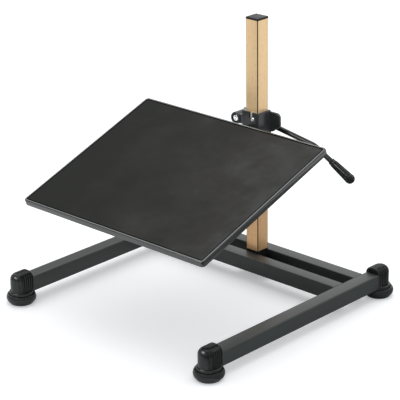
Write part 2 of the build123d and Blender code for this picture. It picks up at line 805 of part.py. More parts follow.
def foot_mat():
    """Thin mat on the board, a groove's width inside the band."""
    mat_bottom = -mat_below_rim - mat_thickness
    outline = platform_outline(band_width + mat_groove)
    mat = extrude(Plane(origin=(0, 0, mat_bottom)) * outline, mat_thickness)
    return platform_plane.location * mat


def bracket_screw_places():
    """Where the bracket's four screws enter the board."""
    x = bracket_half_width - bracket_screw_inset
    front = -pivot_from_rear - bracket_forward + bracket_screw_inset
    rear = -pivot_from_rear + ear_radius - bracket_screw_inset
    return [(-x, front), (x, front), (-x, rear), (x, rear)]


def platform_bracket():
    """Steel bracket under the board with two ears for the pivot bolt."""
    plate_rear = -pivot_from_rear + ear_radius
    plate_front_edge = -pivot_from_rear - bracket_forward
    plate_bottom = -platform_thickness - bracket_thickness
    outline = RectangleRounded(2 * bracket_half_width, plate_rear - plate_front_edge, bracket_corner)
    plate_plane = Plane(origin=(0, (plate_rear + plate_front_edge) / 2, plate_bottom))
    bracket = extrude(plate_plane * outline, bracket_thickness)
    ear_outline = Polyline(
        (-pivot_from_rear - ear_root_forward, plate_bottom + 1),
        (plate_rear, plate_bottom + 1),
        (plate_rear, -pivot_below_top),
        (-pivot_from_rear - ear_radius, -pivot_below_top),
        close=True,
    )
    for start in (-ear_outer, ear_inner):
        ear_plane = Plane(origin=(start, 0, 0), x_dir=(0, 1, 0), z_dir=(1, 0, 0))
        bracket += extrude(ear_plane * make_face(ear_outline), ear_thickness)
        bracket += along_x(ear_radius, start, start + ear_thickness, -pivot_from_rear, -pivot_below_top)
    hole = pivot_bolt_radius + running_clearance
    bracket -= along_x(hole, -ear_outer - 1, ear_outer + 1, -pivot_from_rear, -pivot_below_top)
    screw_hole = bracket_screw_radius + bolt_hole_clearance
    for x, y in bracket_screw_places():
        bracket -= along_z(screw_hole, plate_bottom - 1, -platform_thickness + 1, x, y)
    return platform_plane.location * bracket


def bracket_screws():
    """Four screws that hold the bracket to the board."""
    screws = []
    plate_bottom = -platform_thickness - bracket_thickness
    head_bottom = plate_bottom - bracket_screw_head_height
    point = -platform_thickness + bracket_screw_reach
    for x, y in bracket_screw_places():
        head = along_z(bracket_screw_head_radius, head_bottom, plate_bottom, x, y)
        shank = along_z(bracket_screw_radius, plate_bottom, point, x, y)
        screws.append(platform_plane.location * (head + shank))
    return screws


def pivot_bolt():
    """Bolt through both ears and the knuckle, with its head on the right."""
    head_start = ear_outer + washer_thickness
    shank_end = -ear_outer - washer_thickness - pivot_nut_height - pivot_bolt_end
    seat = Vector(head_start, pivot_point.Y, pivot_point.Z)
    head_plane = Plane(origin=seat, x_dir=(0, 1, 0), z_dir=(1, 0, 0))
    head = extrude(head_plane * hexagon(pivot_head_across), pivot_head_height)
    return head + along_x(pivot_bolt_radius, shank_end, head_start, pivot_point.Y, pivot_point.Z)


def pivot_nut():
    """Lock nut on the pivot bolt's left end."""
    start = -ear_outer - washer_thickness - pivot_nut_height
    plane = Plane(origin=(start, pivot_point.Y, pivot_point.Z), x_dir=(0, 1, 0), z_dir=(1, 0, 0))
    bored = hexagon(pivot_head_across) - Circle(pivot_bolt_radius + fixing_clearance)
    return extrude(plane * bored, pivot_nut_height)


def pivot_washers():
    """Washers outside the ears, under the pivot bolt's head and nut."""
    washers = []
    for start in (-ear_outer - washer_thickness, ear_outer):
        end = start + washer_thickness
        washer = along_x(washer_radius, start, end, pivot_point.Y, pivot_point.Z)
        bore = along_x(pivot_bolt_radius + fixing_clearance, start, end, pivot_point.Y, pivot_point.Z)
        washers.append(washer - bore)
    return washers


# Writing every piece to its own file

def save(name, *shapes):
    """One solid as it is; a set of identical pieces as a group of solids."""
    solids = []
    for shape in shapes:
        solids.extend(shape.solids())
    piece = solids[0] if len(solids) == 1 else Compound(solids)
    export_step(piece, os.path.join("parts", name + ".step"))


os.makedirs("parts", exist_ok=True)

save("left_rail", side_rail(-rail_x))
save("right_rail", side_rail(rail_x))
save("front_crossbar", crossbar(-1))
save("rear_crossbar", crossbar(1))
save("post", post_tube())
save("post_cap", post_cap())
save("post_plug", post_plug())
save("base_plate", base_plate())
save("post_bolt", post_bolt())
save("base_plate_screws", *base_plate_screws())

boot_shape = boot()
disc_shape = foot_disc()
sole_shape = foot_sole()
spindle_shape = foot_spindle()
nut_shape = levelling_nut()
levelling_nuts = []
for row, foot_y in (("front", front_feet_y), ("rear", rear_feet_y)):
    for hand, foot_x in (("left", -rail_x), ("right", rail_x)):
        corner = row + "_" + hand
        foot_place = Pos(foot_x, foot_y, 0)
        nose_turn = Rot(0, 0, 0 if row == "front" else 180)
        save(corner + "_boot", foot_place * nose_turn * boot_shape)
        save(corner + "_foot_disc", foot_place * disc_shape)
        save(corner + "_foot_sole", foot_place * sole_shape)
        save(corner + "_foot_spindle", foot_place * spindle_shape)
        levelling_nuts.append(foot_place * nut_shape)
save("levelling_nuts", *levelling_nuts)

save("clamp_body", clamp_body())
save("glide_liner", glide_liner())
save("liner_screw", liner_screw())
save("clamp_rear_plate", clamp_rear_plate())
save("tie_bolt", tie_bolt())
save("tie_nut", tie_nut())
save("side_screws", *side_screws())
save("pressure_shoe", pressure_shoe())
save("pivot_bushes", *pivot_bushes())
save("friction_washers", *friction_washers())

save("lever_screw", lever_screw())
save("lever_hub", lever_hub())
save("hub_pin", hub_pin())
save("lever_rod", lever_rod())
save("lever_grip", lever_grip())

save("edge_band", edge_band())
save("platform_board", platform_board())
save("foot_mat", foot_mat())
save("platform_bracket", platform_bracket())
save("bracket_screws", *bracket_screws())
save("pivot_bolt", pivot_bolt())
save("pivot_nut", pivot_nut())
save("pivot_washers", *pivot_washers())
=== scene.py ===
import bmesh
import bpy
import json
import math
from mathutils import Matrix, Vector


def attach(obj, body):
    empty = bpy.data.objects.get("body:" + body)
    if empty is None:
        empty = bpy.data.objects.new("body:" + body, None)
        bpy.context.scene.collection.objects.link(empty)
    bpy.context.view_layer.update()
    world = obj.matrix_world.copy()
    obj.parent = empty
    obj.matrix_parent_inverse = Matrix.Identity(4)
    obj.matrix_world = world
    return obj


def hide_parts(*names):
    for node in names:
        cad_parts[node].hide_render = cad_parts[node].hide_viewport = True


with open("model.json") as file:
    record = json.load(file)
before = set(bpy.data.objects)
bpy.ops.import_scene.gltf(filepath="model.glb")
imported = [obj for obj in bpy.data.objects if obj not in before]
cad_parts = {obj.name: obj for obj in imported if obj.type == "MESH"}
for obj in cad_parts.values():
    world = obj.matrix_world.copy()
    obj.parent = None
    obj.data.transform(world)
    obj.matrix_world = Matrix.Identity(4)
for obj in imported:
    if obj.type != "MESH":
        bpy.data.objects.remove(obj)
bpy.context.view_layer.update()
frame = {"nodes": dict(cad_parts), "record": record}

# The footrest's looks. Sizes are in millimetres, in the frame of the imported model:
# +Z up, +X to the user's right, -Y towards the user, origin on the floor under the base.
MM = 0.001
WELD = 0.002

# Base
hands = ("left", -1), ("right", 1)
rows = ("front", -1), ("rear", 1)
rail_x = 257.5
rail_half_length = 262.75
rail_half_width = 16.0
rail_bottom, rail_top = 20.4, 52.8
rail_corner = 3.5
tube_wall = 2.0
foot_y = 251.75
crossbar_top = 51.8
crossbar_half_length = 241.5
crossbar_half_width = 14.25
crossbar_offset = 31.15
crossbar_corner = 1.9
hole_start, hole_end = rail_bottom - 1, rail_bottom + 3
plate_bottom = 15.4
plate_screw_x, plate_screw_y = 28.0, 27.0
plate_screw_hole = 3.05

# Post and cap
post_y = 173.75
post_half, post_corner, post_wall = 16.0, 1.8, 2.5
post_top, cap_top = 547.0, 551.0
# Where the post's painted corner reflection starts, off its axis, and the top of the painted shade at its
# foot
corner_reflection_from, foot_shade_top = 14.4, 56.5
cap_half, cap_corner, cap_edge = 16.3, 1.5, 1.0
plug_half, plug_corner, plug_wall = 13.4, 0.8, 2.5
plug_bottom, plug_hollow = post_top - 16.0, 15.0

# Boots and feet
boot_half, boot_bottom, boot_top = 18.0, 20.5, 64.5
boot_nose, boot_rim = -22.0, 20.6
boot_arch, boot_rim_round = 14.0, 3.5
boot_hole_top = 22.0
groove_count, groove_pitch = 7, 5.2
first_groove, groove_depth = 15.7, 1.8
groove_floor, groove_side = 0.95, 1.6
groove_foot, groove_start = 26.2, 27.4
socket_half, socket_nose, socket_end = 16.15, -11.15, 26.0
socket_bottom, socket_top = 20.25, 52.95
flange_radius, flange_bottom, flange_top = 24.3, 17.5, 25.8
flange_round, flange_bevel = 2.2, 0.6
rim_top, dish_floor, dish_radius = 20.0, 15.5, 25.2
sole_top, sole_radius, sole_round = 3.0, 24.0, 1.5
tread_rings, tread_depth = (19.5, 13.5, 7.5), 0.9
spindle_hole, spindle_top = 5.6, 45.8

# Threads and hexagon heads
coarse_pitch, fine_pitch = 1.5, 1.25
big_hex, big_head = 17.0, 6.4

# Clamp carriage, about the post's axis
sleeve_half, sleeve_rear = 22.0, 16.3
sleeve_bottom, sleeve_top = 287.0, 357.0
bore_half = 17.65
slit_left, slit_right = -2.0, 6.0
slit_back, slit_bottom = -16.6, 345.0
cut_front, cut_rear = -24.0, 18.0
tie_x, tie_z = -39.5, 336.0
tie_radius, tie_hole = 4.0, 4.3
tie_recess, tie_seat = 8.6, -12.8
boss_front, boss_radius, boss_round = -22.3, 12.5, 1.8
web_front, web_half = -20.0, 10.0
arm_half, arm_low, arm_high = 13.0, 289.0, 327.0
pivot_y, pivot_z = -85.0014, 306.2933
knuckle_radius, knuckle_half = 14.0, 16.0
bush_hole = 7.05
small_screw_x, small_screw_z = 8.7, 343.0
side_screw_x = 19.825
side_screw_low, side_screw_high = 327.0, 345.0
plate_left, plate_right = -52.0, 45.5
plate_low, plate_high = 319.5, 352.5
plate_cut, plate_back = 15.0, 21.8
ear_end, left_ear_top = -14.0, 346.5
apron_half, apron_back = 16.15, 25.3
apron_low, apron_high = 296.0, 346.0
lug_radius, lug_back = 11.0, 28.3
shoe_half_width, shoe_half_height, shoe_back = 12.45, 15.2, 20.4

# Clamp lever, about the post's axis; it falls to the right in two straight runs
lever_z = 318.0
lever_screw_hole = 6.05
hub_front, hub_back = 28.7, 44.7
hub_radius, hub_round = 13.0, 1.5
rod_y = (hub_front + hub_back) / 2
rod_radius, rod_hole = 5.4, 5.45
rod_fall, grip_fall = 9.2, 28.3
rod_way = Vector((math.cos(math.radians(rod_fall)), 0, -math.sin(math.radians(rod_fall))))
grip_way = Vector((math.cos(math.radians(grip_fall)), 0, -math.sin(math.radians(grip_fall))))
bend_x, bend_radius, bend_steps = 121.5, 45.0, 10
rod_bend = Vector((bend_x, rod_y, lever_z - bend_x * math.tan(math.radians(rod_fall))))
flute_pitch = 36.0

# Platform, in its own frame: origin at the middle of its rear top edge, +Y to the rear
platform_tilt = math.radians(19.6)
platform_origin = Vector((0, 103.05, 349.6))
platform_width, platform_depth, platform_thickness = 482.0, 374.0, 13.0
platform_corner = 8.0
mat_inset, mat_step = 4.1, 2.6
mat_bottom, mat_flange, mat_top = -2.3, -1.8, -0.3
groove_shade = 0.7
bracket_half, bracket_front, bracket_rear, bracket_low = 60.0, -140.0, -14.0, -16.0
bracket_screw_places = ((-50, -130), (50, -130), (-50, -24), (50, -24))
hinge_y, hinge_z = -28.0, -36.0
ear_inner, ear_outer, ear_radius = 17.8, 21.8, 14.0
pivot_radius, pivot_hole, pivot_seat = 5.0, 5.05, 23.3

# Studio, in metres; its ways run along the floor, towards the camera and across its view
view_side = Vector((0.687, -0.727, 0))
view_across = Vector((0.727, 0.687, 0))
world_level = 0.75
world_mirrored = 0.42
sun_level = 0.9
sun_way = (0.25, -0.30, -1.0)
sun_angle = math.radians(60)
floor_lift = 0.335
mirror_lift = 0.1
paper_front = 0.5
dim_from, dark_from, dim_to = 0.04, 0.48, 1.05
camera_target, camera_distance = Vector((-0.03539, 0.04045, 0.19138)), 3.6956
camera_turn, camera_rise, camera_roll = 43.378, 21.095, -0.753
camera_lens = 165.4965

# Reflected cards: name, centre, the way each faces, width, height, strength
cards = (
    ("rear_white_card", view_side * -1.8 + view_across * 0.77 + Vector((0, 0, 0.8)), view_side,
     1.6, 1.4, 1.3),
    ("left_white_card", (-1.9, 0.2, 0.55), (1, 0, 0), 0.9, 1.4, 1.2),
    ("high_rear_white_card", (-1.67, 0.71, 2.13), (0.641, -0.299, -0.706), 1.4, 1.4, 2.2),
    ("high_front_white_card", (-0.5, -1.7, 1.62), (0.2, 0.68, -0.7), 1.5, 0.9, 8.0),
    ("rear_right_white_card", (1.05, 1.25, 1.45), (-0.36, -0.68, -0.64), 1.1, 0.9, 2.0),
)


# Modelling tools: each piece starts from a primitive and is shaped in edit mode

def clear():
    """Ends editing and selects nothing."""
    if bpy.context.object and bpy.context.object.mode != "OBJECT":
        bpy.ops.object.mode_set(mode="OBJECT")
    bpy.ops.object.select_all(action="DESELECT")


def hold(piece):
    """Makes this the only selected piece."""
    clear()
    piece.select_set(True)
    bpy.context.view_layer.objects.active = piece


def runs_along(edge, axis):
    """True for an edge that runs along X (0), Y (1) or Z (2)."""
    run = edge.verts[1].co - edge.verts[0].co
    return abs(run[axis]) > 0.999 * run.length


def lies_at(item, axis, value):
    """True where all of an edge or a face lies at one station."""
    return all(abs(v.co[axis] - value) < 0.01 for v in item.verts)


def runs(axis):
    """Test for edges that run along an axis."""
    return lambda edge: runs_along(edge, axis)


def at(axis, value):
    """Test for edges or faces that lie at one station."""
    return lambda item: lies_at(item, axis, value)


def pick(piece, kind, test):
    """Opens a piece for editing with the chosen items selected."""
    hold(piece)
    bpy.ops.object.mode_set(mode="EDIT")
    bpy.ops.mesh.select_mode(type=kind)
    bpy.ops.mesh.select_all(action="DESELECT")
    shape = bmesh.from_edit_mesh(piece.data)
    items = {"VERT": shape.verts, "EDGE": shape.edges, "FACE": shape.faces}[kind]
    for item in items:
        if test(item):
            item.select_set(True)
    shape.select_flush_mode()
    bmesh.update_edit_mesh(piece.data)


def pick_all(piece):
    """Opens a piece for editing with everything selected."""
    pick(piece, "VERT", lambda v: True)


def close():
    """Ends editing."""
    bpy.ops.object.mode_set(mode="OBJECT")


def merged(piece):
    """Merges doubled corners."""
    pick_all(piece)
    bpy.ops.mesh.remove_doubles(threshold=WELD)
    close()


def pull(way):
    """Extrudes what is selected."""
    bpy.ops.mesh.extrude_region_move(TRANSFORM_OT_translate={"value": way})


def weld(piece):
    """Merges doubled corners and turns all faces outwards."""
    merged(piece)
    pick_all(piece)
    bpy.ops.mesh.normals_make_consistent(inside=False)
    close()


def span(half, centre=0.0):
    """Two stations, the same way to each side of a centre."""
    return centre - half, centre + half


def block(x, y, z):
    """Block between two stations on each axis."""
    clear()
    spans = (x, y, z)
    bpy.ops.mesh.primitive_cube_add(
        size=1,
        location=[(a + b) / 2 for a, b in spans],
        scale=[b - a for a, b in spans],
    )
    bpy.ops.object.transform_apply()
    return bpy.context.object


def round_edges(piece, radius, steps, test):
    """Rounds the chosen edges."""
    pick(piece, "EDGE", test)
    bpy.ops.mesh.bevel(offset=radius, segments=steps, affect="EDGES", clamp_overlap=False)
    close()


def cut_across(piece, axis, station):
    """Cuts new edges round a piece at one station."""
    way = Vector((0, 0, 0))
    way[axis] = 1
    pick_all(piece)
    bpy.ops.mesh.bisect(plane_co=way * station, plane_no=way)
    close()


def drawn(points):
    """Line drawn through points."""
    clear()
    points = [Vector(p) for p in points]
    bpy.ops.mesh.primitive_plane_add(size=1, location=points[0])
    bpy.ops.object.transform_apply()
    line = bpy.context.object
    pick_all(line)
    bpy.ops.mesh.merge(type="CENTER")
    for start, end in zip(points, points[1:]):
        pull(end - start)
    close()
    return line


def arc(centre, radius, start, end, steps):
    """Points of an arc from one angle to another."""
    angles = [math.radians(start + (end - start) * i / steps) for i in range(steps + 1)]
    return [(centre[0] + radius * math.cos(a), centre[1] + radius * math.sin(a)) for a in angles]


def turned(outline, steps=64):
    """Piece turned about Z from an outline of radius and height."""
    piece = drawn([(radius, 0, height) for radius, height in outline])
    pick_all(piece)
    bpy.ops.mesh.spin(steps=steps, angle=2 * math.pi, center=(0, 0, 0), axis=(0, 0, 1))
    close()
    weld(piece)
    return piece


def placed(piece, offset, turn=(0, 0, 0)):
    """Turns a piece about the origin, in degrees, then moves it."""
    hold(piece)
    piece.rotation_euler = [math.radians(angle) for angle in turn]
    piece.location = offset
    bpy.ops.object.transform_apply()
    return piece


def copied(piece):
    """Copy of a piece with its own mesh."""
    twin = piece.copy()
    twin.data = piece.data.copy()
    bpy.context.scene.collection.objects.link(twin)
    return twin


def joined(pieces):
    """Makes one object of several separate pieces."""
    hold(pieces[0])
    for piece in pieces[1:]:
        piece.select_set(True)
    bpy.ops.object.join()
    return pieces[0]


def combined(piece, other, operation):
    """Adds, cuts out or intersects another piece."""
    hold(piece)
    tool = piece.modifiers.new("combine", "BOOLEAN")
    tool.object = other
    tool.operation = operation
    tool.solver = "EXACT"
    bpy.ops.object.modifier_apply(modifier=tool.name)
    bpy.data.objects.remove(other)
    merged(piece)
    return piece


def add(piece, other):
    """Adds another piece to this one."""
    return combined(piece, other, "UNION")


def cut(piece, cutter):
    """Cuts another piece's shape out of this one."""
    return combined(piece, cutter, "DIFFERENCE")


def walled(piece, thickness):
    """Gives an open skin its wall, inwards."""
    hold(piece)
    wall = piece.modifiers.new("wall", "SOLIDIFY")
    wall.thickness = thickness
    wall.offset = -1
    wall.use_even_offset = True
    bpy.ops.object.modifier_apply(modifier=wall.name)


def bar(radius, start, end, steps=32):
    """Plain turned bar along Z, used to bore holes."""
    return turned([(0, start), (radius, start), (radius, end), (0, end)], steps)


def finished(piece, name, finish, body, slot, *nodes, smooth_angle=35):
    """Sets a piece in the frame: size, finish, body and the nodes it stands for."""
    hold(piece)
    piece.scale = (MM, MM, MM)
    bpy.ops.object.transform_apply()
    bpy.ops.object.shade_smooth_by_angle(angle=math.radians(smooth_angle))
    piece.name = name
    piece.data.name = name
    piece.data.materials.clear()
    piece.data.materials.append(finish)
    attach(piece, body)
    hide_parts(*nodes)
    return piece


# Finishes

class Value:
    """Value in a finish; sums on it add the Math nodes that work it out."""

    def __init__(self, tree, socket=None):
        self.tree = tree
        self.socket = socket

    def node(self, kind, settings, sockets, output=0):
        """Adds a node with its settings and what feeds its sockets."""
        made = self.tree.nodes.new("ShaderNode" + kind)
        for key, value in settings.items():
            if key == "stops":
                ramp = made.color_ramp
                while len(ramp.elements) < len(value):
                    ramp.elements.new(1.0)
                for element, (position, colour) in zip(ramp.elements, value):
                    element.position = position
                    element.color = (*colour, 1.0)
            else:
                setattr(made, key, value)
        for key, value in sockets.items():
            if isinstance(value, Value):
                self.tree.links.new(value.socket, made.inputs[key])
            else:
                made.inputs[key].default_value = value
        return Value(self.tree, made.outputs[output])

    def sum(self, operation, first, second):
        return self.node("Math", {"operation": operation}, {0: first, 1: second})

    def __add__(self, other):
        return self.sum("ADD", self, other)

    def __sub__(self, other):
        return self.sum("SUBTRACT", self, other)

    def __rsub__(self, other):
        return self.sum("SUBTRACT", other, self)

    def __mul__(self, other):
        return self.sum("MULTIPLY", self, other)

    def __gt__(self, other):
        return self.sum("GREATER_THAN", self, other)

    def part(self, axis):
        """One coordinate of this place: X, Y or Z."""
        return self.node("SeparateXYZ", {}, {"Vector": self}, axis)

    def along(self, way):
        """How far this place lies along a way."""
        return self.node("VectorMath", {"operation": "DOT_PRODUCT"}, {0: self, 1: way}, "Value")

    def size(self):
        """This value without its sign."""
        return self.node("Math", {"operation": "ABSOLUTE"}, {0: self})

    def noise(self, scale, detail=4.0, roughness=0.55):
        """Cloudy pattern on this place, about 0 to 1."""
        sockets = {"Vector": self, "Scale": scale, "Detail": detail, "Roughness": roughness}
        return self.node("TexNoise", {}, sockets)

    def cells(self, scale):
        """Distance to the nearest of scattered points, for grain."""
        return self.node("TexVoronoi", {}, {"Vector": self, "Scale": scale})

    def stretched(self, scale, turn=(0, 0, 0)):
        """This place, stretched and turned."""
        return self.node("Mapping", {}, {"Vector": self, "Rotation": turn, "Scale": scale})

    def ramp(self, *stops):
        """Colour along a ramp of stops."""
        return self.node("ValToRGB", {"stops": stops}, {"Fac": self})

    def between(self, low, high):
        """This value, about 0 to 1, spread between two others and held there."""
        sockets = {"Value": self, "From Min": 0.25, "From Max": 0.75, "To Min": low, "To Max": high}
        return self.node("MapRange", {}, sockets)

    def mixed(self, first, second):
        """Colour between two, this value of the way along."""
        return self.node("Mix", {"data_type": "RGBA"}, {0: self, 6: first, 7: second}, 2)

    def bump(self, depth, strength=1.0):
        """Relief of this height, in metres."""
        return self.node("Bump", {}, {"Strength": strength, "Distance": depth, "Height": self})


def finish(name, constants, pattern):
    """Finish whose pattern works out colour, roughness, relief and metal from the place."""
    material = bpy.data.materials.new(name)
    material.use_nodes = True
    tree = material.node_tree
    shader = tree.nodes["Principled BSDF"]
    for key, value in constants.items():
        shader.inputs[key].default_value = value
    place = Value(tree).node("TexCoord", {}, {}, "Object")
    for key, value in zip(("Base Color", "Roughness", "Normal", "Metallic"), pattern(place)):
        tree.links.new(value.socket, shader.inputs[key])
    return material


def charcoal_coat(place):
    """Satin powder coat: faint tone clouds, orange peel, a little rub."""
    clouds = place.noise(9.0, 3.0)
    rub = place.noise(60.0, 6.0, 0.7)
    peel = place.noise(700.0, 2.0)
    tone = clouds.ramp((0.3, (0.027, 0.033, 0.031)), (0.7, (0.035, 0.042, 0.040)))
    colour = rub.between(0.0, 0.35).mixed(tone, (0.046, 0.054, 0.052, 1))
    return colour, rub.between(0.38, 0.46), peel.bump(0.00005)


def gold_anodised(place):
    """Satin gold anodising with faint drawing lines, a painted dark reflection along its corners, painted
    shade (near black) at its foot and painted shade (darker orange) low down.
    """
    lines = place.stretched((2600.0, 2600.0, 60.0)).noise(1.0, 2.0, 0.5)
    clouds = place.stretched((30.0, 30.0, 7.0)).noise(1.0, 3.0)
    tone = clouds.ramp((0.3, (0.92, 0.645, 0.345)), (0.7, (0.96, 0.68, 0.375)))
    # Painted shade under the platform: the gold turns a darker, deeper orange from 0.30 m down to 0.10 m.
    sockets = {"Value": place.part("Z"), "From Min": 0.30, "From Max": 0.10}
    painted_low_shade = place.node("MapRange", {}, sockets)
    gold_with_painted_low_shade = painted_low_shade.mixed(tone, (0.97, 0.60, 0.30, 1))
    face = lines.between(0.0, 0.04).mixed(gold_with_painted_low_shade, (0.78, 0.53, 0.28, 1))
    across, along = place.part("X").size(), (place.part("Y") - post_y * MM).size()
    # Painted dark reflection: a brown line down each of the post's rounded corners.
    corner = (across > corner_reflection_from * MM) * (along > corner_reflection_from * MM)
    # Painted shade: near black on the post's foot, where it stands in the slot between the crossbars.
    foot = foot_shade_top * MM - place.part("Z") > 0.0
    with_corner_reflection = corner.mixed(face, (0.07, 0.038, 0.016, 1))
    colour = foot.mixed(with_corner_reflection, (0.012, 0.012, 0.012, 1))
    metal = (1.0 - foot) * (1.0 - corner) * 0.5
    return colour, lines.between(0.27, 0.29), lines.bump(0.0000003), metal


def grained(soft, fine, dark, light, speck, share, sheen, *relief):
    """Finish of soft clouds with a fine grain over them, an uneven sheen and a slight relief."""
    def pattern(place):
        clouds = place.noise(*soft)
        grain = place.noise(*fine)
        tone = clouds.ramp((0.3, dark), (0.7, light))
        colour = grain.between(0.0, share).mixed(tone, (*speck, 1))
        return colour, clouds.between(*sheen), grain.bump(*relief)
    return pattern


def moulded_black(sheen):
    """Moulded black plastic with a fine spark grain."""
    return grained((45.0, 3.0), (1100.0, 3.0), (0.009, 0.010, 0.010), (0.013, 0.0145, 0.0145),
                   (0.020, 0.022, 0.022), 0.3, sheen, 0.00003)


def mat_vinyl(place):
    """Fine pebbled mat: soft clouds, lighter and greyer to the right and rear as a painted sheen, painted
    shade (black) in the groove round it.
    """
    clouds = place.noise(6.0, 4.0, 0.6)
    blotch = place.noise(26.0, 4.0, 0.6)
    pebble = place.cells(650.0)
    speck = place.noise(900.0, 2.0)
    # Random clouds plus a painted sheen: lighter and greyer towards the right and the rear.
    clouds_and_painted_sheen = clouds * 0.6 + 0.19 + place.part("X") * 0.75 + place.part("Y") * 0.2
    tone = clouds_and_painted_sheen.ramp((0.34, (0.019, 0.021, 0.019)), (0.47, (0.031, 0.031, 0.029)),
                      (0.56, (0.046, 0.0447, 0.0425)), (0.68, (0.080, 0.083, 0.082)))
    worn = blotch.between(0.0, 0.3).mixed(tone, (0.030, 0.0305, 0.029, 1))
    pebbled = speck.between(0.0, 0.25).mixed(worn, (0.038, 0.038, 0.0365, 1))
    up = Vector((0, -math.sin(platform_tilt), math.cos(platform_tilt)))
    # Painted shade: black in the groove between the mat and the band, below the mat's top.
    groove = (platform_origin.dot(up) - groove_shade) * MM - place.along(up) > 0.0
    colour = groove.mixed(pebbled, (0.003, 0.003, 0.003, 1))
    return colour, blotch.between(0.50, 0.60), (1.0 - pebble).bump(0.00010, 0.6)


def zinc_plate(place):
    """Dull zinc plate with a spangle and a faint blue cast."""
    spangle = place.cells(420.0)
    haze = place.noise(160.0, 5.0)
    tone = haze.ramp((0.3, (0.50, 0.52, 0.54)), (0.6, (0.58, 0.59, 0.60)), (0.8, (0.60, 0.59, 0.54)))
    colour = spangle.between(0.0, 0.3).mixed(tone, (0.66, 0.67, 0.69, 1))
    return colour, haze.between(0.30, 0.45), haze.bump(0.00003)


def sintered_bronze(place):
    """Porous bearing bronze."""
    pores = place.cells(1500.0)
    clouds = place.noise(200.0, 4.0)
    tone = clouds.ramp((0.3, (0.42, 0.27, 0.12)), (0.7, (0.56, 0.38, 0.18)))
    colour = pores.between(0.0, 0.5).mixed((0.22, 0.14, 0.07, 1), tone)
    return colour, clouds.between(0.36, 0.5), pores.bump(0.00004)


def pressed_board(place):
    """Fibreboard underside: pressed fibres in soft clouds."""
    fibre = place.stretched((240.0, 60.0, 240.0)).noise(1.0, 6.0, 0.7)
    clouds = place.noise(10.0, 4.0)
    tone = clouds.ramp((0.3, (0.125, 0.098, 0.072)), (0.7, (0.165, 0.13, 0.096)))
    colour = fibre.between(0.0, 0.6).mixed(tone, (0.21, 0.17, 0.13, 1))
    return colour, fibre.between(0.60, 0.78), fibre.bump(0.00015)


def sole_grip(place):
    """Matt rubber of the soles, dusty in places."""
    dust = place.noise(70.0, 5.0, 0.65)
    grain = place.noise(1000.0, 2.0)
    tone = grain.ramp((0.3, (0.020, 0.020, 0.020)), (0.7, (0.030, 0.030, 0.030)))
    colour = dust.between(0.0, 0.5).mixed(tone, (0.055, 0.052, 0.048, 1))
    return colour, dust.between(0.70, 0.85), grain.bump(0.0001)


charcoal = finish("charcoal_powder_coat", {"Specular IOR Level": 0.5}, charcoal_coat)
gold = finish("gold_anodised_satin", {}, gold_anodised)
black = finish("black_moulded_plastic", {}, moulded_black((0.20, 0.27)))
cap_black = finish("cap_matt_plastic", {"Specular IOR Level": 0.2}, moulded_black((0.38, 0.46)))
rod_black = finish("lever_black_paint", {"Specular IOR Level": 0.35}, moulded_black((0.10, 0.14)))
vinyl = finish("mat_vinyl", {"Specular IOR Level": 0.03}, mat_vinyl)
edging = finish("edging_satin_black", {"Specular IOR Level": 1.0}, grained(
    (18.0, 3.0), (900.0, 3.0), (0.022, 0.025, 0.025), (0.029, 0.032, 0.032), (0.042, 0.046, 0.046),
    0.3, (0.12, 0.18), 0.00004))
gloss_black = grained(
    (30.0, 3.0), (420.0, 2.0), (0.030, 0.033, 0.034), (0.040, 0.044, 0.045), (0.052, 0.057, 0.058),
    0.2, (0.18, 0.26), 0.00008, 0.5)
paint = finish("clamp_black_paint", {}, gloss_black)
bracket_paint = finish("bracket_black_paint", {}, gloss_black)
chrome = finish("bright_chrome_plate", {"Metallic": 1.0}, grained(
    (240.0, 5.0), (1500.0, 2.0), (0.82, 0.83, 0.84), (0.90, 0.90, 0.91), (0.7, 0.71, 0.72),
    0.15, (0.06, 0.16), 0.00001))
zinc = finish("dull_zinc_plate", {"Metallic": 1.0}, zinc_plate)
nylon = finish("natural_nylon", {}, grained(
    (90.0, 4.0), (900.0, 2.0), (0.62, 0.59, 0.51), (0.72, 0.69, 0.61), (0.55, 0.52, 0.45),
    0.2, (0.42, 0.55), 0.00003))
bronze = finish("sintered_bronze", {"Metallic": 1.0}, sintered_bronze)
board = finish("pressed_fibreboard", {"Specular IOR Level": 0.3}, pressed_board)
rubber = finish("sole_rubber_matt", {"Specular IOR Level": 0.3}, sole_grip)

slot_finish = dict(
    base_steel=charcoal, post_gold=gold, black_plastic=black, sole_rubber=rubber, zinc_steel=zinc,
    bright_chrome=chrome, carriage_black=paint, liner_nylon=nylon, bush_bronze=bronze,
    board_wood=board, band_black=edging, mat_rubber=vinyl, bracket_steel=bracket_paint)
for row in frame["record"]["subparts"]:
    for holder in frame["nodes"][row["node"]].material_slots:
        holder.material = slot_finish[row["material_slot"]]


# Shapes used by several pieces

def along_y(piece, x, z):
    """Lays a turned piece along Y: its heights become stations from front to rear."""
    return placed(piece, (x, 0, z), (-90, 0, 0))


def along_x(piece, y, z):
    """Lays a turned piece along X: its heights become stations from left to right."""
    return placed(piece, (0, y, z), (0, 90, 0))


def cut_sheet(points, thickness):
    """Flat piece of a given outline, thickened along a vector."""
    piece = drawn(points)
    pick_all(piece)
    bpy.ops.mesh.edge_face_add()
    pull(thickness)
    close()
    weld(piece)
    return piece


def tube(x, y, z, corner, wall, axis):
    """Square tube with open ends, its long edges rounded."""
    piece = block(x, y, z)
    round_edges(piece, corner, 6, runs(axis))
    pick(piece, "FACE", lambda f: abs(f.normal[axis]) > 0.99)
    bpy.ops.mesh.delete(type="FACE")
    close()
    walled(piece, wall)
    merged(piece)
    return piece


def hexagon(across, height):
    """Corners of a hexagon with its flats left and right."""
    reach = across / math.sqrt(3)
    angles = [math.radians(30 + 60 * i) for i in range(6)]
    return [(reach * math.cos(a), reach * math.sin(a), height) for a in angles]


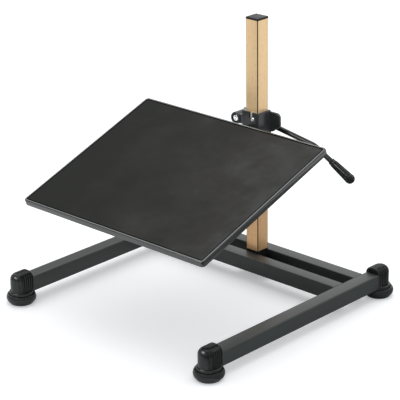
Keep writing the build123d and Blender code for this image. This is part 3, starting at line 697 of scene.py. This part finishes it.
def hex_head(across, start, end, both_ends):
    """Hexagon head along Z, its corners turned away at the outer end, or at both."""
    head = cut_sheet(hexagon(across, start - 1.0), (0, 0, end - start + 2.0))
    corner = across / math.sqrt(3)
    flat = 0.47 * across
    drop = (corner - flat) * 0.55
    reach = corner + 0.1
    seat = [(flat, start), (reach, start + drop)] if both_ends else [(reach, start)]
    crown = turned([(0, start)] + seat + [(reach, end - drop), (flat, end), (0, end)], 50)
    return combined(head, crown, "INTERSECT")


def threaded(radius, start, end, pitch):
    """Outline of a threaded end along Z, from its root to its chamfered point."""
    crest_count = int((end - start - 1.0) / pitch)
    root = radius - 0.48 * pitch
    points = []
    for i in range(crest_count):
        points += [(root, start + i * pitch), (radius, start + (i + 0.5) * pitch)]
    return points + [(radius - 0.8, end - 0.3), (radius - 1.2, end), (0, end)]


def cross_screw(head_radius, head_height, shank_radius, shank_length):
    """Pan-head screw with a cross recess, its seat at the origin and its head up along Z."""
    crown = head_height * 0.55
    dome = [(head_radius * math.cos(a), head_height - crown + crown * math.sin(a))
            for a in [math.radians(90 * i / 8) for i in range(9)]]
    shank = [(0, -shank_length), (shank_radius * 0.6, -shank_length),
             (shank_radius, -shank_length + shank_radius), (shank_radius, 0), (head_radius, 0)]
    screw = turned(shank + dome, 40)
    width, reach = head_radius * 0.13, head_radius * 0.55
    for x, y in ((width, reach), (reach, width)):
        blade = block((-x, x), (-y, y), (head_height * 0.45, head_height + 1))
        cut(screw, blade)
    return screw


# Base frame

def side_rails():
    """Both side rails: square tubes, bored below for the feet's spindles."""
    rail = tube(span(rail_half_width), span(rail_half_length), (rail_bottom, rail_top),
                rail_corner, tube_wall, 1)
    for y in (-foot_y, foot_y):
        cut(rail, placed(bar(spindle_hole, hole_start, hole_end), (0, y, 0)))
    for hand, side in hands:
        piece = placed(copied(rail), (side * rail_x, 0, 0))
        finished(piece, "rail_tube_" + hand, charcoal, "base", "base_steel", hand + "_rail")
    bpy.data.objects.remove(rail)


def crossbars():
    """The two crossbars, bored below for the base plate's screws."""
    crossbar = tube(span(crossbar_half_length), span(crossbar_half_width), (rail_bottom, crossbar_top),
                    crossbar_corner, tube_wall, 0)
    for row, side in rows:
        piece = placed(copied(crossbar), (0, post_y + side * crossbar_offset, 0))
        for x in (-plate_screw_x, plate_screw_x):
            hole = bar(plate_screw_hole, hole_start, hole_end)
            cut(piece, placed(hole, (x, post_y + side * plate_screw_y, 0)))
        finished(piece, "crossbar_tube_" + row, charcoal, "base", "base_steel", row + "_crossbar")
    bpy.data.objects.remove(crossbar)


def post_and_cap():
    """Gold post, and its cap with a hollow plug below."""
    post = tube(span(post_half), span(post_half, post_y), (rail_bottom, post_top),
                post_corner, post_wall, 2)
    finished(post, "post_tube", gold, "base", "post_gold", "post")
    cap = block(span(cap_half), span(cap_half, post_y), (post_top, cap_top))
    round_edges(cap, cap_corner, 6, runs(2))
    round_edges(cap, cap_edge, 4, at(2, cap_top))
    plug = block(span(plug_half), span(plug_half, post_y), (plug_bottom, post_top + 1.0))
    round_edges(plug, plug_corner, 3, runs(2))
    pick(plug, "FACE", at(2, plug_bottom))
    bpy.ops.mesh.inset(thickness=plug_wall, depth=0)
    pull((0, 0, plug_hollow))
    close()
    add(cap, plug)
    finished(cap, "post_end_cap", cap_black, "base", "black_plastic", "post_cap")


# Boots and levelling feet

def boot_form():
    """Ribbed boot over a foot at the origin, nose towards -Y."""
    shell = block(span(boot_half), (boot_nose, boot_rim), (boot_bottom, boot_top))
    round_edges(shell, boot_half - 0.001, 18, lambda e: runs_along(e, 2) and lies_at(e, 1, boot_nose))
    weld(shell)
    round_edges(shell, boot_arch, 10, lambda e: lies_at(e, 2, boot_top) and not lies_at(e, 1, boot_rim))
    weld(shell)
    round_edges(shell, boot_rim_round, 5,
                lambda e: lies_at(e, 1, boot_rim) and not lies_at(e, 2, boot_bottom))
    weld(shell)
    for height in (groove_foot, groove_start):
        cut_across(shell, 2, height)
    centres = [first_groove - groove_pitch * i for i in range(groove_count)]
    for centre in centres:
        for offset in (-groove_side, -groove_floor, 0.0, groove_floor, groove_side):
            cut_across(shell, 1, centre + offset)
    weld(shell)
    pick(shell, "VERT", lambda v: v.co.z > groove_start - 0.1
         and min(abs(v.co.y - centre) for centre in centres) < groove_floor + 0.05)
    bpy.ops.transform.shrink_fatten(value=-groove_depth)
    close()
    outline = [(0, flange_bottom), (flange_radius - flange_bevel, flange_bottom),
               (flange_radius, flange_bottom + flange_bevel)]
    outline += arc((flange_radius - flange_round, flange_top - flange_round), flange_round, 0, 90, 6)
    add(shell, turned(outline + [(0, flange_top)], 72))
    socket = block(span(socket_half), (socket_nose, socket_end), (socket_bottom, socket_top))
    round_edges(socket, rail_corner, 6, runs(1))
    cut(shell, socket)
    return cut(shell, bar(spindle_hole, flange_bottom - 1, boot_hole_top))


def disc_form():
    """Round foot with a bulging side, a raised rim, a dished top and the spindle's pocket."""
    pocket_radius, neck_radius = 8.05, 5.05
    pocket_low, pocket_high = 6.85, 11.15
    bevel, rim_bevel = 0.8, 0.4
    bulge_centre, bulge_radius = (18.288462, 12.322115), 11.785929
    side = arc(bulge_centre, bulge_radius, -52.274656, 34.513338, 14)
    outline = [(0, pocket_low), (pocket_radius, pocket_low), (pocket_radius, pocket_high),
               (neck_radius, pocket_high), (neck_radius, dish_floor),
               (dish_radius - bevel, dish_floor), (dish_radius, dish_floor + bevel),
               (dish_radius, rim_top - rim_bevel), (dish_radius + rim_bevel, rim_top),
               (27.0, rim_top), (27.7, rim_top - 0.3)]
    return turned(outline + side[::-1] + [(24.9, sole_top), (0, sole_top)], 96)


def sole_form():
    """Rubber sole with rings cut in its tread."""
    outline = [(0, sole_top), (sole_radius, sole_top), (sole_radius, sole_round)]
    outline += arc((sole_radius - sole_round, sole_round), sole_round, 0, -90, 4)[1:]
    for ring in tread_rings:
        outline += [(ring, 0), (ring - 0.4, tread_depth), (ring - 1.6, tread_depth), (ring - 2.0, 0)]
    return turned(outline + [(0, 0)], 72)


def spindle_form():
    """Threaded spindle with the flange that turns in the foot."""
    radius, bevel, bottom, top = 8.0, 0.4, 7.0, 11.0
    outline = [(0, bottom), (radius - bevel, bottom), (radius, bottom + bevel),
               (radius, top - bevel), (radius - bevel, top), (4.3, top)]
    return turned(outline + threaded(5.0, 11.5, spindle_top, coarse_pitch), 32)


def feet():
    """Boot, disc, sole and spindle, each made once and copied to the four corners."""
    forms = [("boot_ribbed_", boot_form(), black, "black_plastic", "_boot"),
             ("levelling_disc_", disc_form(), black, "black_plastic", "_foot_disc"),
             ("tread_sole_", sole_form(), rubber, "sole_rubber", "_foot_sole"),
             ("threaded_spindle_", spindle_form(), zinc, "zinc_steel", "_foot_spindle")]
    for name, form, surface, slot, node in forms:
        for row, row_side in rows:
            for hand, hand_side in hands:
                corner = row + "_" + hand
                turn = 180 if row == "rear" and node == "_boot" else 0
                piece = placed(copied(form), (hand_side * rail_x, row_side * foot_y, 0), (0, 0, turn))
                body = {"_boot": "base", "_foot_spindle": corner + "_spindle"}.get(node, corner + "_foot")
                finished(piece, name + corner, surface, body, slot, corner + node, smooth_angle=40)
        bpy.data.objects.remove(form)


# Clamp carriage

def on_post(piece):
    """Moves a piece that was made about the post's axis to the post."""
    return placed(piece, (0, post_y, 0))


def clamp_casting():
    """Clamp's cast body: a sleeve, the tie bolt's boss and web at its left, the hinge's arm in front."""
    body = block(span(sleeve_half), (-sleeve_half, sleeve_rear), (sleeve_bottom, sleeve_top))
    round_edges(body, 2.5, 6, lambda e: runs_along(e, 2) and lies_at(e, 1, -sleeve_half))
    round_edges(body, 0.7, 3, lambda e: (lies_at(e, 2, sleeve_top) or lies_at(e, 2, sleeve_bottom))
                and not lies_at(e, 1, sleeve_rear))
    boss_flat = boss_radius - boss_round
    outline = [(0, boss_front), (boss_flat, boss_front)]
    outline += arc((boss_flat, boss_front + boss_round), boss_round, -90, 0, 6)
    boss = turned(outline + [(boss_radius, sleeve_rear), (0, sleeve_rear)], 64)
    add(body, along_y(boss, tie_x, tie_z))
    web = block((tie_x, -bore_half), (web_front, sleeve_rear), span(web_half, tie_z))
    round_edges(web, 2.0, 4, lambda e: runs_along(e, 0) and lies_at(e, 1, web_front))
    add(body, web)
    arm = cut_sheet([(-arm_half, -bore_half, arm_low), (-arm_half, -bore_half, arm_high),
                     (-arm_half, pivot_y, pivot_z + knuckle_radius),
                     (-arm_half, pivot_y, pivot_z - knuckle_radius)], (2 * arm_half, 0, 0))
    round_edges(arm, 2.0, 4, lambda e: abs(e.verts[0].co.y - e.verts[1].co.y) > 10)
    add(body, arm)
    knuckle_flat, knuckle_side = knuckle_radius - 0.8, knuckle_half - 0.8
    knuckle = turned([(0, -knuckle_half), (knuckle_flat, -knuckle_half), (knuckle_radius, -knuckle_side),
                      (knuckle_radius, knuckle_side), (knuckle_flat, knuckle_half), (0, knuckle_half)], 56)
    add(body, along_x(knuckle, pivot_y, pivot_z))

    bore = block(span(bore_half), (-bore_half, sleeve_rear + 1), (sleeve_bottom - 1, sleeve_top + 1))
    cut(body, bore)
    slit = block((slit_left, slit_right), (-sleeve_half - 1, slit_back), (slit_bottom, sleeve_top + 1))
    cut(body, slit)
    cut(body, along_x(bar(bush_hole, -knuckle_half - 2, knuckle_half + 2), pivot_y, pivot_z))
    cut(body, along_y(bar(tie_hole, cut_front, cut_rear), tie_x, tie_z))
    counterbore = turned([(0, cut_front), (tie_recess + 0.8, cut_front), (tie_recess + 0.8, boss_front),
                          (tie_recess, boss_front + 0.8), (tie_recess, tie_seat), (0, tie_seat)], 48)
    cut(body, along_y(counterbore, tie_x, tie_z))
    cut(body, along_y(bar(2.05, cut_front, slit_back, 24), small_screw_x, small_screw_z))
    for z in (side_screw_low, side_screw_high):
        cut(body, along_y(bar(1.55, 3.3, cut_rear, 20), side_screw_x, z))
    finished(on_post(body), "clamp_casting", paint, "carriage", "carriage_black", "clamp_body")


def eared_plate():
    """Plate behind the post with an ear at each side, an apron below and the lever's lug."""
    plate = block((plate_left, plate_right), (sleeve_rear, plate_back), (plate_low, plate_high))
    round_edges(plate, 10, 10, runs(1))
    above_boss = block((plate_left - 8, ear_end), (sleeve_rear - 1, plate_back + 1),
                       (left_ear_top, plate_high + 7.5))
    cut(plate, above_boss)
    corners = [(0, tie_z), (plate_right, tie_z), (plate_right, 329), (27, 311), (0, 311)]
    drop = cut_sheet([(x, sleeve_rear, z) for x, z in corners], (0, plate_back - sleeve_rear, 0))
    round_edges(drop, 4.0, 5, lambda e: runs_along(e, 1) and e.verts[0].co.x > 20
                and e.verts[0].co.z < tie_z - 1)
    add(plate, drop)
    round_edges(plate, 1.0, 4, lambda e: e.calc_face_angle(0.0) > 0.5
                and (lies_at(e, 1, sleeve_rear) or lies_at(e, 1, plate_back)))
    apron = block(span(apron_half), (sleeve_rear, apron_back), (apron_low, apron_high))
    round_edges(apron, 2.0, 5, runs(1))
    round_edges(apron, 0.8, 3, at(1, apron_back))
    add(plate, apron)
    lug = turned([(0, sleeve_rear), (lug_radius, sleeve_rear), (lug_radius, lug_back - 0.8),
                  (lug_radius - 0.8, lug_back), (0, lug_back)], 56)
    add(plate, along_y(lug, 0, lever_z))
    recess = block(span(shoe_half_width), (plate_cut, shoe_back), span(shoe_half_height, lever_z))
    cut(plate, recess)
    cut(plate, along_y(bar(lever_screw_hole, plate_cut, lug_back + 1.7), 0, lever_z))
    cut(plate, along_y(bar(tie_hole, plate_cut, plate_back + 1.2), tie_x, tie_z))
    for z in (side_screw_low, side_screw_high):
        cut(plate, along_y(bar(2.05, plate_cut, plate_back + 1.2, 24), side_screw_x, z))
    finished(on_post(plate), "eared_rear_plate", paint, "carriage", "carriage_black", "clamp_rear_plate")


def carriage_fixings():
    """Tie bolt with its nut, the small screw in front and the two screws behind."""
    head_front, head_radius, head_round = -20.8, 6.5, 0.6
    head_flat = head_radius - head_round
    outline = [(0, head_front), (head_flat, head_front)]
    outline += arc((head_flat, head_front + head_round), head_round, -90, 0, 4)
    outline += [(head_radius, tie_seat), (tie_radius, tie_seat), (tie_radius, 21.0)]
    bolt = along_y(turned(outline + threaded(tie_radius, 21.4, 30.3, fine_pitch), 48), tie_x, tie_z)
    socket = along_y(cut_sheet(hexagon(6.0, head_front - 0.7), (0, 0, 4.7)), tie_x, tie_z)
    cut(bolt, socket)
    finished(on_post(bolt), "tie_bolt_socket_head", chrome, "carriage", "bright_chrome", "tie_bolt")
    nut = hex_head(13.0, plate_back, plate_back + 6.5, True)
    cut(nut, bar(tie_radius + 0.05, plate_back - 1, plate_back + 8))
    finished(on_post(along_y(nut, tie_x, tie_z)), "tie_bolt_nut", zinc, "carriage", "zinc_steel", "tie_nut")
    small = cross_screw(4.2, 2.4, 2.0, 5.8)
    placed(small, (small_screw_x, -sleeve_half, small_screw_z), (90, 0, 0))
    finished(on_post(small), "liner_fixing_screw", chrome, "carriage", "bright_chrome", "liner_screw")
    lower = cross_screw(3.4, 3.2, 1.5, 17.5)
    placed(lower, (side_screw_x, plate_back, side_screw_low), (-90, 0, 0))
    upper = placed(copied(lower), (0, 0, side_screw_high - side_screw_low))
    pair = joined([lower, upper])
    finished(on_post(pair), "rear_plate_screws", zinc, "carriage", "zinc_steel", "side_screws")


# Clamp lever

def lever_hub():
    """Turned hub, bored for the lever's screw, its pin and the rod."""
    outline = [(lever_screw_hole, hub_front), (hub_radius - 0.6, hub_front), (hub_radius, hub_front + 0.6)]
    outline += arc((hub_radius - hub_round, hub_back - hub_round), hub_round, 0, 90, 5)
    outline += [(lever_screw_hole, hub_back), (lever_screw_hole, hub_front)]
    hub = along_y(turned(outline, 56), 0, lever_z)
    cut(hub, placed(bar(2.05, -14, 14, 20), (0, rod_y, lever_z)))
    cut(hub, placed(bar(rod_hole, 2, 15), (0, rod_y, lever_z), (0, 90 + rod_fall, 0)))
    finished(on_post(hub), "lever_hub_turned", paint, "clamp_lever", "carriage_black", "lever_hub")


def lever_rod():
    """Round rod, drawn along its bent middle line."""
    first, second = math.radians(rod_fall), math.radians(grip_fall)
    lead = bend_radius * math.tan((second - first) / 2)
    inwards = Vector((-math.sin(first), 0, -math.cos(first)))
    centre = rod_bend - rod_way * lead + inwards * bend_radius
    path = [Vector((0, rod_y, lever_z)) + rod_way * 7.0]
    for i in range(bend_steps + 1):
        angle = first + (second - first) * i / bend_steps
        path.append(centre + Vector((math.sin(angle), 0, math.cos(angle))) * bend_radius)
    path.append(rod_bend + grip_way * 52.0)
    rod = drawn(path)
    hold(rod)
    bpy.ops.object.convert(target="CURVE")
    rod.data.bevel_depth = rod_radius
    rod.data.bevel_resolution = 7
    rod.data.use_fill_caps = True
    bpy.ops.object.convert(target="MESH")
    weld(rod)
    finished(on_post(rod), "lever_rod_bent", rod_black, "clamp_lever", "carriage_black", "lever_rod",
             smooth_angle=50)


def lever_grip():
    """Fluted grip with a collar, made along Z and then turned onto the rod's end."""
    shoulder, shoulder_radius = 10.0, 8.1
    round_start, end_radius = 54.4, 10.1
    slope = (end_radius - shoulder_radius) / (round_start - shoulder)
    outline = [(0, 5), (rod_hole, 5), (rod_hole, 0), (6.5, 0), (7.0, 0.5), (7.0, 3.6), (6.7, 4.0),
               (6.3, 4.0), (7.0, 4.7), (7.5, 6.4)]
    stations = [shoulder, 11, 12, 13.5, 16, 22, 30, 38, 45, 49, 51, 52, 53]
    outline += [(shoulder_radius + slope * (station - shoulder), station) for station in stations]
    grip = turned(outline + arc((0, round_start), end_radius, 0, 90, 12), 80)

    def from_flute(corner):
        """Degrees round the grip from the middle of the nearest flute."""
        angle = math.degrees(math.atan2(corner.co.y, corner.co.x))
        return abs((angle + flute_pitch / 2) % flute_pitch - flute_pitch / 2)

    for away, depth in ((0.0, 2.0), (4.5, 1.75), (9.0, 0.8)):
        for low, high, share in ((11.9, 50.5, 1.0), (10.5, 11.9, 0.55), (50.5, 52.5, 0.55)):
            pick(grip, "VERT", lambda v: low <= v.co.z < high and math.hypot(v.co.x, v.co.y) > 6.0
                 and abs(from_flute(v) - away) < 0.5)
            bpy.ops.transform.shrink_fatten(value=-depth * share)
            close()
    placed(grip, rod_bend + grip_way * 48.0, (0, 90 + grip_fall, 0))
    finished(on_post(grip), "lever_grip_fluted", rod_black, "clamp_lever", "black_plastic", "lever_grip",
             smooth_angle=50)


# Platform, modelled in its own frame and then tilted

def tilted(piece):
    """Sets a piece made in the platform's frame at the platform's place and tilt."""
    return placed(piece, platform_origin, (math.degrees(platform_tilt), 0, 0))


def platform_block(inset, low, high):
    """Sheet with the platform's outline, drawn in by an inset."""
    piece = block(span(platform_width / 2 - inset), (-platform_depth + inset, -inset), (low, high))
    round_edges(piece, platform_corner - inset, 12, runs(2))
    return piece


def edge_band():
    """Edge band: the platform's outline with its middle taken out."""
    band = platform_block(0, -platform_thickness, 0)
    round_edges(band, 2.2, 6, at(2, 0))
    round_edges(band, 1.5, 4, at(2, -platform_thickness))
    for height, flat in ((0, 1.8), (-platform_thickness, 2.5)):
        pick(band, "FACE", at(2, height))
        bpy.ops.mesh.inset(thickness=flat, depth=0)
        bpy.ops.mesh.delete(type="FACE")
        close()
    pick(band, "EDGE", lambda e: e.is_boundary)
    bpy.ops.mesh.bridge_edge_loops()
    close()
    weld(band)
    finished(tilted(band), "edge_band_moulded", edging, "platform", "band_black", "edge_band")


def mat_sheet():
    """Mat with a thin flange round it, so that a groove shows inside the band."""
    mat = platform_block(mat_inset, mat_bottom, mat_flange)
    pick(mat, "FACE", at(2, mat_flange))
    bpy.ops.mesh.inset(thickness=mat_step, depth=0)
    pull((0, 0, mat_top - mat_flange))
    close()
    round_edges(mat, 0.6, 3, at(2, mat_top))
    finished(tilted(mat), "foot_mat_sheet", vinyl, "platform", "mat_rubber", "foot_mat")


def hinge_bracket():
    """Pressed bracket under the platform, with two ears for the pivot, and its screws."""
    bracket = block(span(bracket_half), (bracket_front, bracket_rear), (bracket_low, -platform_thickness))
    round_edges(bracket, 8, 8, runs(2))
    round_edges(bracket, 0.6, 3, at(2, bracket_low))
    edge = [(-74, -15), (-14, -15)] + arc((hinge_y, hinge_z), ear_radius, 0, -180, 20)
    ear = cut_sheet([(ear_inner, y, z) for y, z in edge], (ear_outer - ear_inner, 0, 0))
    round_edges(ear, 0.6, 3, lambda e: lies_at(e, 0, ear_inner) or lies_at(e, 0, ear_outer))
    for x in (0, -ear_inner - ear_outer):
        add(bracket, placed(copied(ear), (x, 0, 0)))
    bpy.data.objects.remove(ear)
    cut(bracket, along_x(bar(pivot_hole, -24, 24), hinge_y, hinge_z))
    for x, y in bracket_screw_places:
        cut(bracket, placed(bar(2.5, bracket_low - 2, 1 - platform_thickness, 24), (x, y, 0)))
    finished(tilted(bracket), "hinge_bracket_pressed", bracket_paint, "platform", "bracket_steel",
             "platform_bracket")
    screws = joined([placed(cross_screw(4.2, 2.2, 2.2, 10.0), (x, y, bracket_low), (180, 0, 0))
                     for x, y in bracket_screw_places])
    finished(tilted(screws), "hinge_bracket_screws", zinc, "platform", "zinc_steel", "bracket_screws")


def pivot_fixings():
    """Pivot bolt and its nut, outside the bracket's ears."""
    bolt = hex_head(big_hex, pivot_seat, pivot_seat + big_head, False)
    shank = [(0, pivot_seat + 0.7), (pivot_radius, pivot_seat + 0.7), (pivot_radius, -23.0)]
    shank += [(radius, -height) for radius, height in threaded(pivot_radius, 23.4, 34.3, coarse_pitch)]
    add(bolt, turned(shank, 40))
    nut = hex_head(big_hex, -pivot_seat - 8.0, -pivot_seat, True)
    cut(nut, bar(pivot_hole, -33, -22))
    world_y = post_y + pivot_y
    finished(along_x(bolt, world_y, pivot_z), "pivot_bolt_hex", zinc, "platform", "zinc_steel", "pivot_bolt")
    finished(along_x(nut, world_y, pivot_z), "pivot_lock_nut", zinc, "platform", "zinc_steel", "pivot_nut")


def base_fixings():
    """Bolt that holds the post from below, and the base plate's four screws."""
    head = placed(hex_head(big_hex, 0, big_head, False), (0, post_y, plate_bottom), (180, 0, 0))
    shank = [(0, 15.0), (5.0, 15.0)] + threaded(5.0, 16.0, 42.4, coarse_pitch)
    add(head, placed(turned(shank, 32), (0, post_y, 0)))
    finished(head, "post_bolt_hex", zinc, "base", "zinc_steel", "post_bolt")
    screws = joined([placed(cross_screw(5.5, 3.0, 3.0, 14.0), (x, post_y + y, plate_bottom), (180, 0, 0))
                     for x in (-plate_screw_x, plate_screw_x) for y in (-plate_screw_y, plate_screw_y)])
    finished(screws, "base_plate_pan_screws", zinc, "base", "zinc_steel", "base_plate_screws")


side_rails()
crossbars()
post_and_cap()
feet()
clamp_casting()
eared_plate()
carriage_fixings()
lever_hub()
lever_rod()
lever_grip()
edge_band()
mat_sheet()
hinge_bracket()
pivot_fixings()
base_fixings()


# Studio: pale floor, soft light from above, and white cards that show only in shiny surfaces

def lit_by(tree, shader):
    """Ends a staging finish with its shader."""
    output = tree.nodes.new("ShaderNodeOutputMaterial")
    tree.links.new(shader.socket, output.inputs["Surface"])


def staging(name):
    """Empty finish for the studio, with the start of its node tree."""
    surface = bpy.data.materials.new(name)
    surface.use_nodes = True
    surface.node_tree.nodes.clear()
    return surface, Value(surface.node_tree)


def studio_floor():
    """Pale floor. Shiny surfaces see it darker in front of the footrest and beside it."""
    bpy.ops.mesh.primitive_grid_add(x_subdivisions=8, y_subdivisions=8, size=14, location=(0, 0, -0.0003))
    floor = bpy.context.object
    bpy.ops.object.transform_apply()
    floor.name = "studio_floor"
    surface, start = staging("studio_floor_white")
    place = start.node("TexCoord", {}, {}, "Object")
    tone = place.noise(3.0, 2.0).ramp((0.3, (0.882, 0.895, 0.912)), (0.7, (0.892, 0.905, 0.922)))
    seen = start.node("LightPath", {}, {}, "Is Camera Ray")
    mirrored = start.node("LightPath", {}, {}, "Is Glossy Ray")
    front = mirrored * (place.along(view_side) > paper_front)
    right = place.along(view_across)
    beside = mirrored * (right > dim_from) * (dim_to - right > 0.0)
    dimmed = beside.mixed(tone, (0.42, 0.43, 0.44, 1))
    darker = (beside * (right > dark_from)).mixed(dimmed, (0.15, 0.15, 0.16, 1))
    shade = front.mixed(darker, (0.02, 0.02, 0.02, 1))
    paper = start.node("BsdfDiffuse", {}, {"Color": shade})
    level = seen * floor_lift + mirrored * (right > dim_to) * mirror_lift
    lift = start.node("Emission", {}, {"Color": (0.97, 0.985, 1, 1), "Strength": level})
    lit_by(surface.node_tree, start.node("AddShader", {}, {0: paper, 1: lift}))
    floor.data.materials.append(surface)


def reflected_card(name, centre, facing, width, height, strength):
    """White card that shows only in shiny surfaces."""
    clear()
    turn = Vector(facing).to_track_quat("Z", "Y").to_euler()
    bpy.ops.mesh.primitive_plane_add(size=1, location=centre, rotation=turn)
    card = bpy.context.object
    card.scale = (width, height, 1)
    bpy.ops.object.transform_apply()
    card.name = name
    surface, start = staging(name + "_white")
    glow = start.node("Emission", {}, {"Color": (1, 1, 1, 1), "Strength": strength})
    lit_by(surface.node_tree, glow)
    card.data.materials.append(surface)
    card.visible_camera = False
    card.visible_diffuse = False
    card.visible_shadow = False


def studio_light():
    """Even surround, dimmer in shiny surfaces and white behind the object, with one wide soft lamp."""
    world = bpy.data.worlds.new("studio_surround")
    bpy.context.scene.world = world
    world.use_nodes = True
    surround = world.node_tree.nodes["Background"]
    surround.inputs["Color"].default_value = (1, 1, 1, 1)
    start = Value(world.node_tree)
    mirrored = start.node("LightPath", {}, {}, "Is Glossy Ray")
    seen = start.node("LightPath", {}, {}, "Is Camera Ray")
    level = world_level - mirrored * (world_level - world_mirrored) + seen * (1.0 - world_level)
    world.node_tree.links.new(level.socket, surround.inputs["Strength"])
    bpy.ops.object.light_add(type="SUN", location=(-1.5, 1.0, 3.0))
    lamp = bpy.context.object
    lamp.name = "overhead_soft_light"
    lamp.data.energy = sun_level
    lamp.data.angle = sun_angle
    lamp.rotation_euler = Vector(sun_way).to_track_quat("-Z", "Y").to_euler()
    for card in cards:
        reflected_card(*card)


def photo_camera():
    """Camera fitted to the photograph."""
    bpy.ops.object.camera_add()
    camera = bpy.context.object
    camera.name = "photo_camera"
    camera.data.lens = camera_lens
    camera.data.sensor_width = 36.0
    camera.data.clip_end = 50.0
    place = Matrix.Translation(camera_target)
    for angle, axis in ((camera_turn, "Z"), (90 - camera_rise, "X"), (camera_roll, "Z")):
        place = place @ Matrix.Rotation(math.radians(angle), 4, axis)
    camera.matrix_world = place @ Matrix.Translation((0, 0, camera_distance))
    bpy.context.scene.camera = camera


for stage_step in (studio_floor, studio_light, photo_camera):
    clear()
    stage_step()
bpy.context.scene.view_settings.view_transform = "Standard"
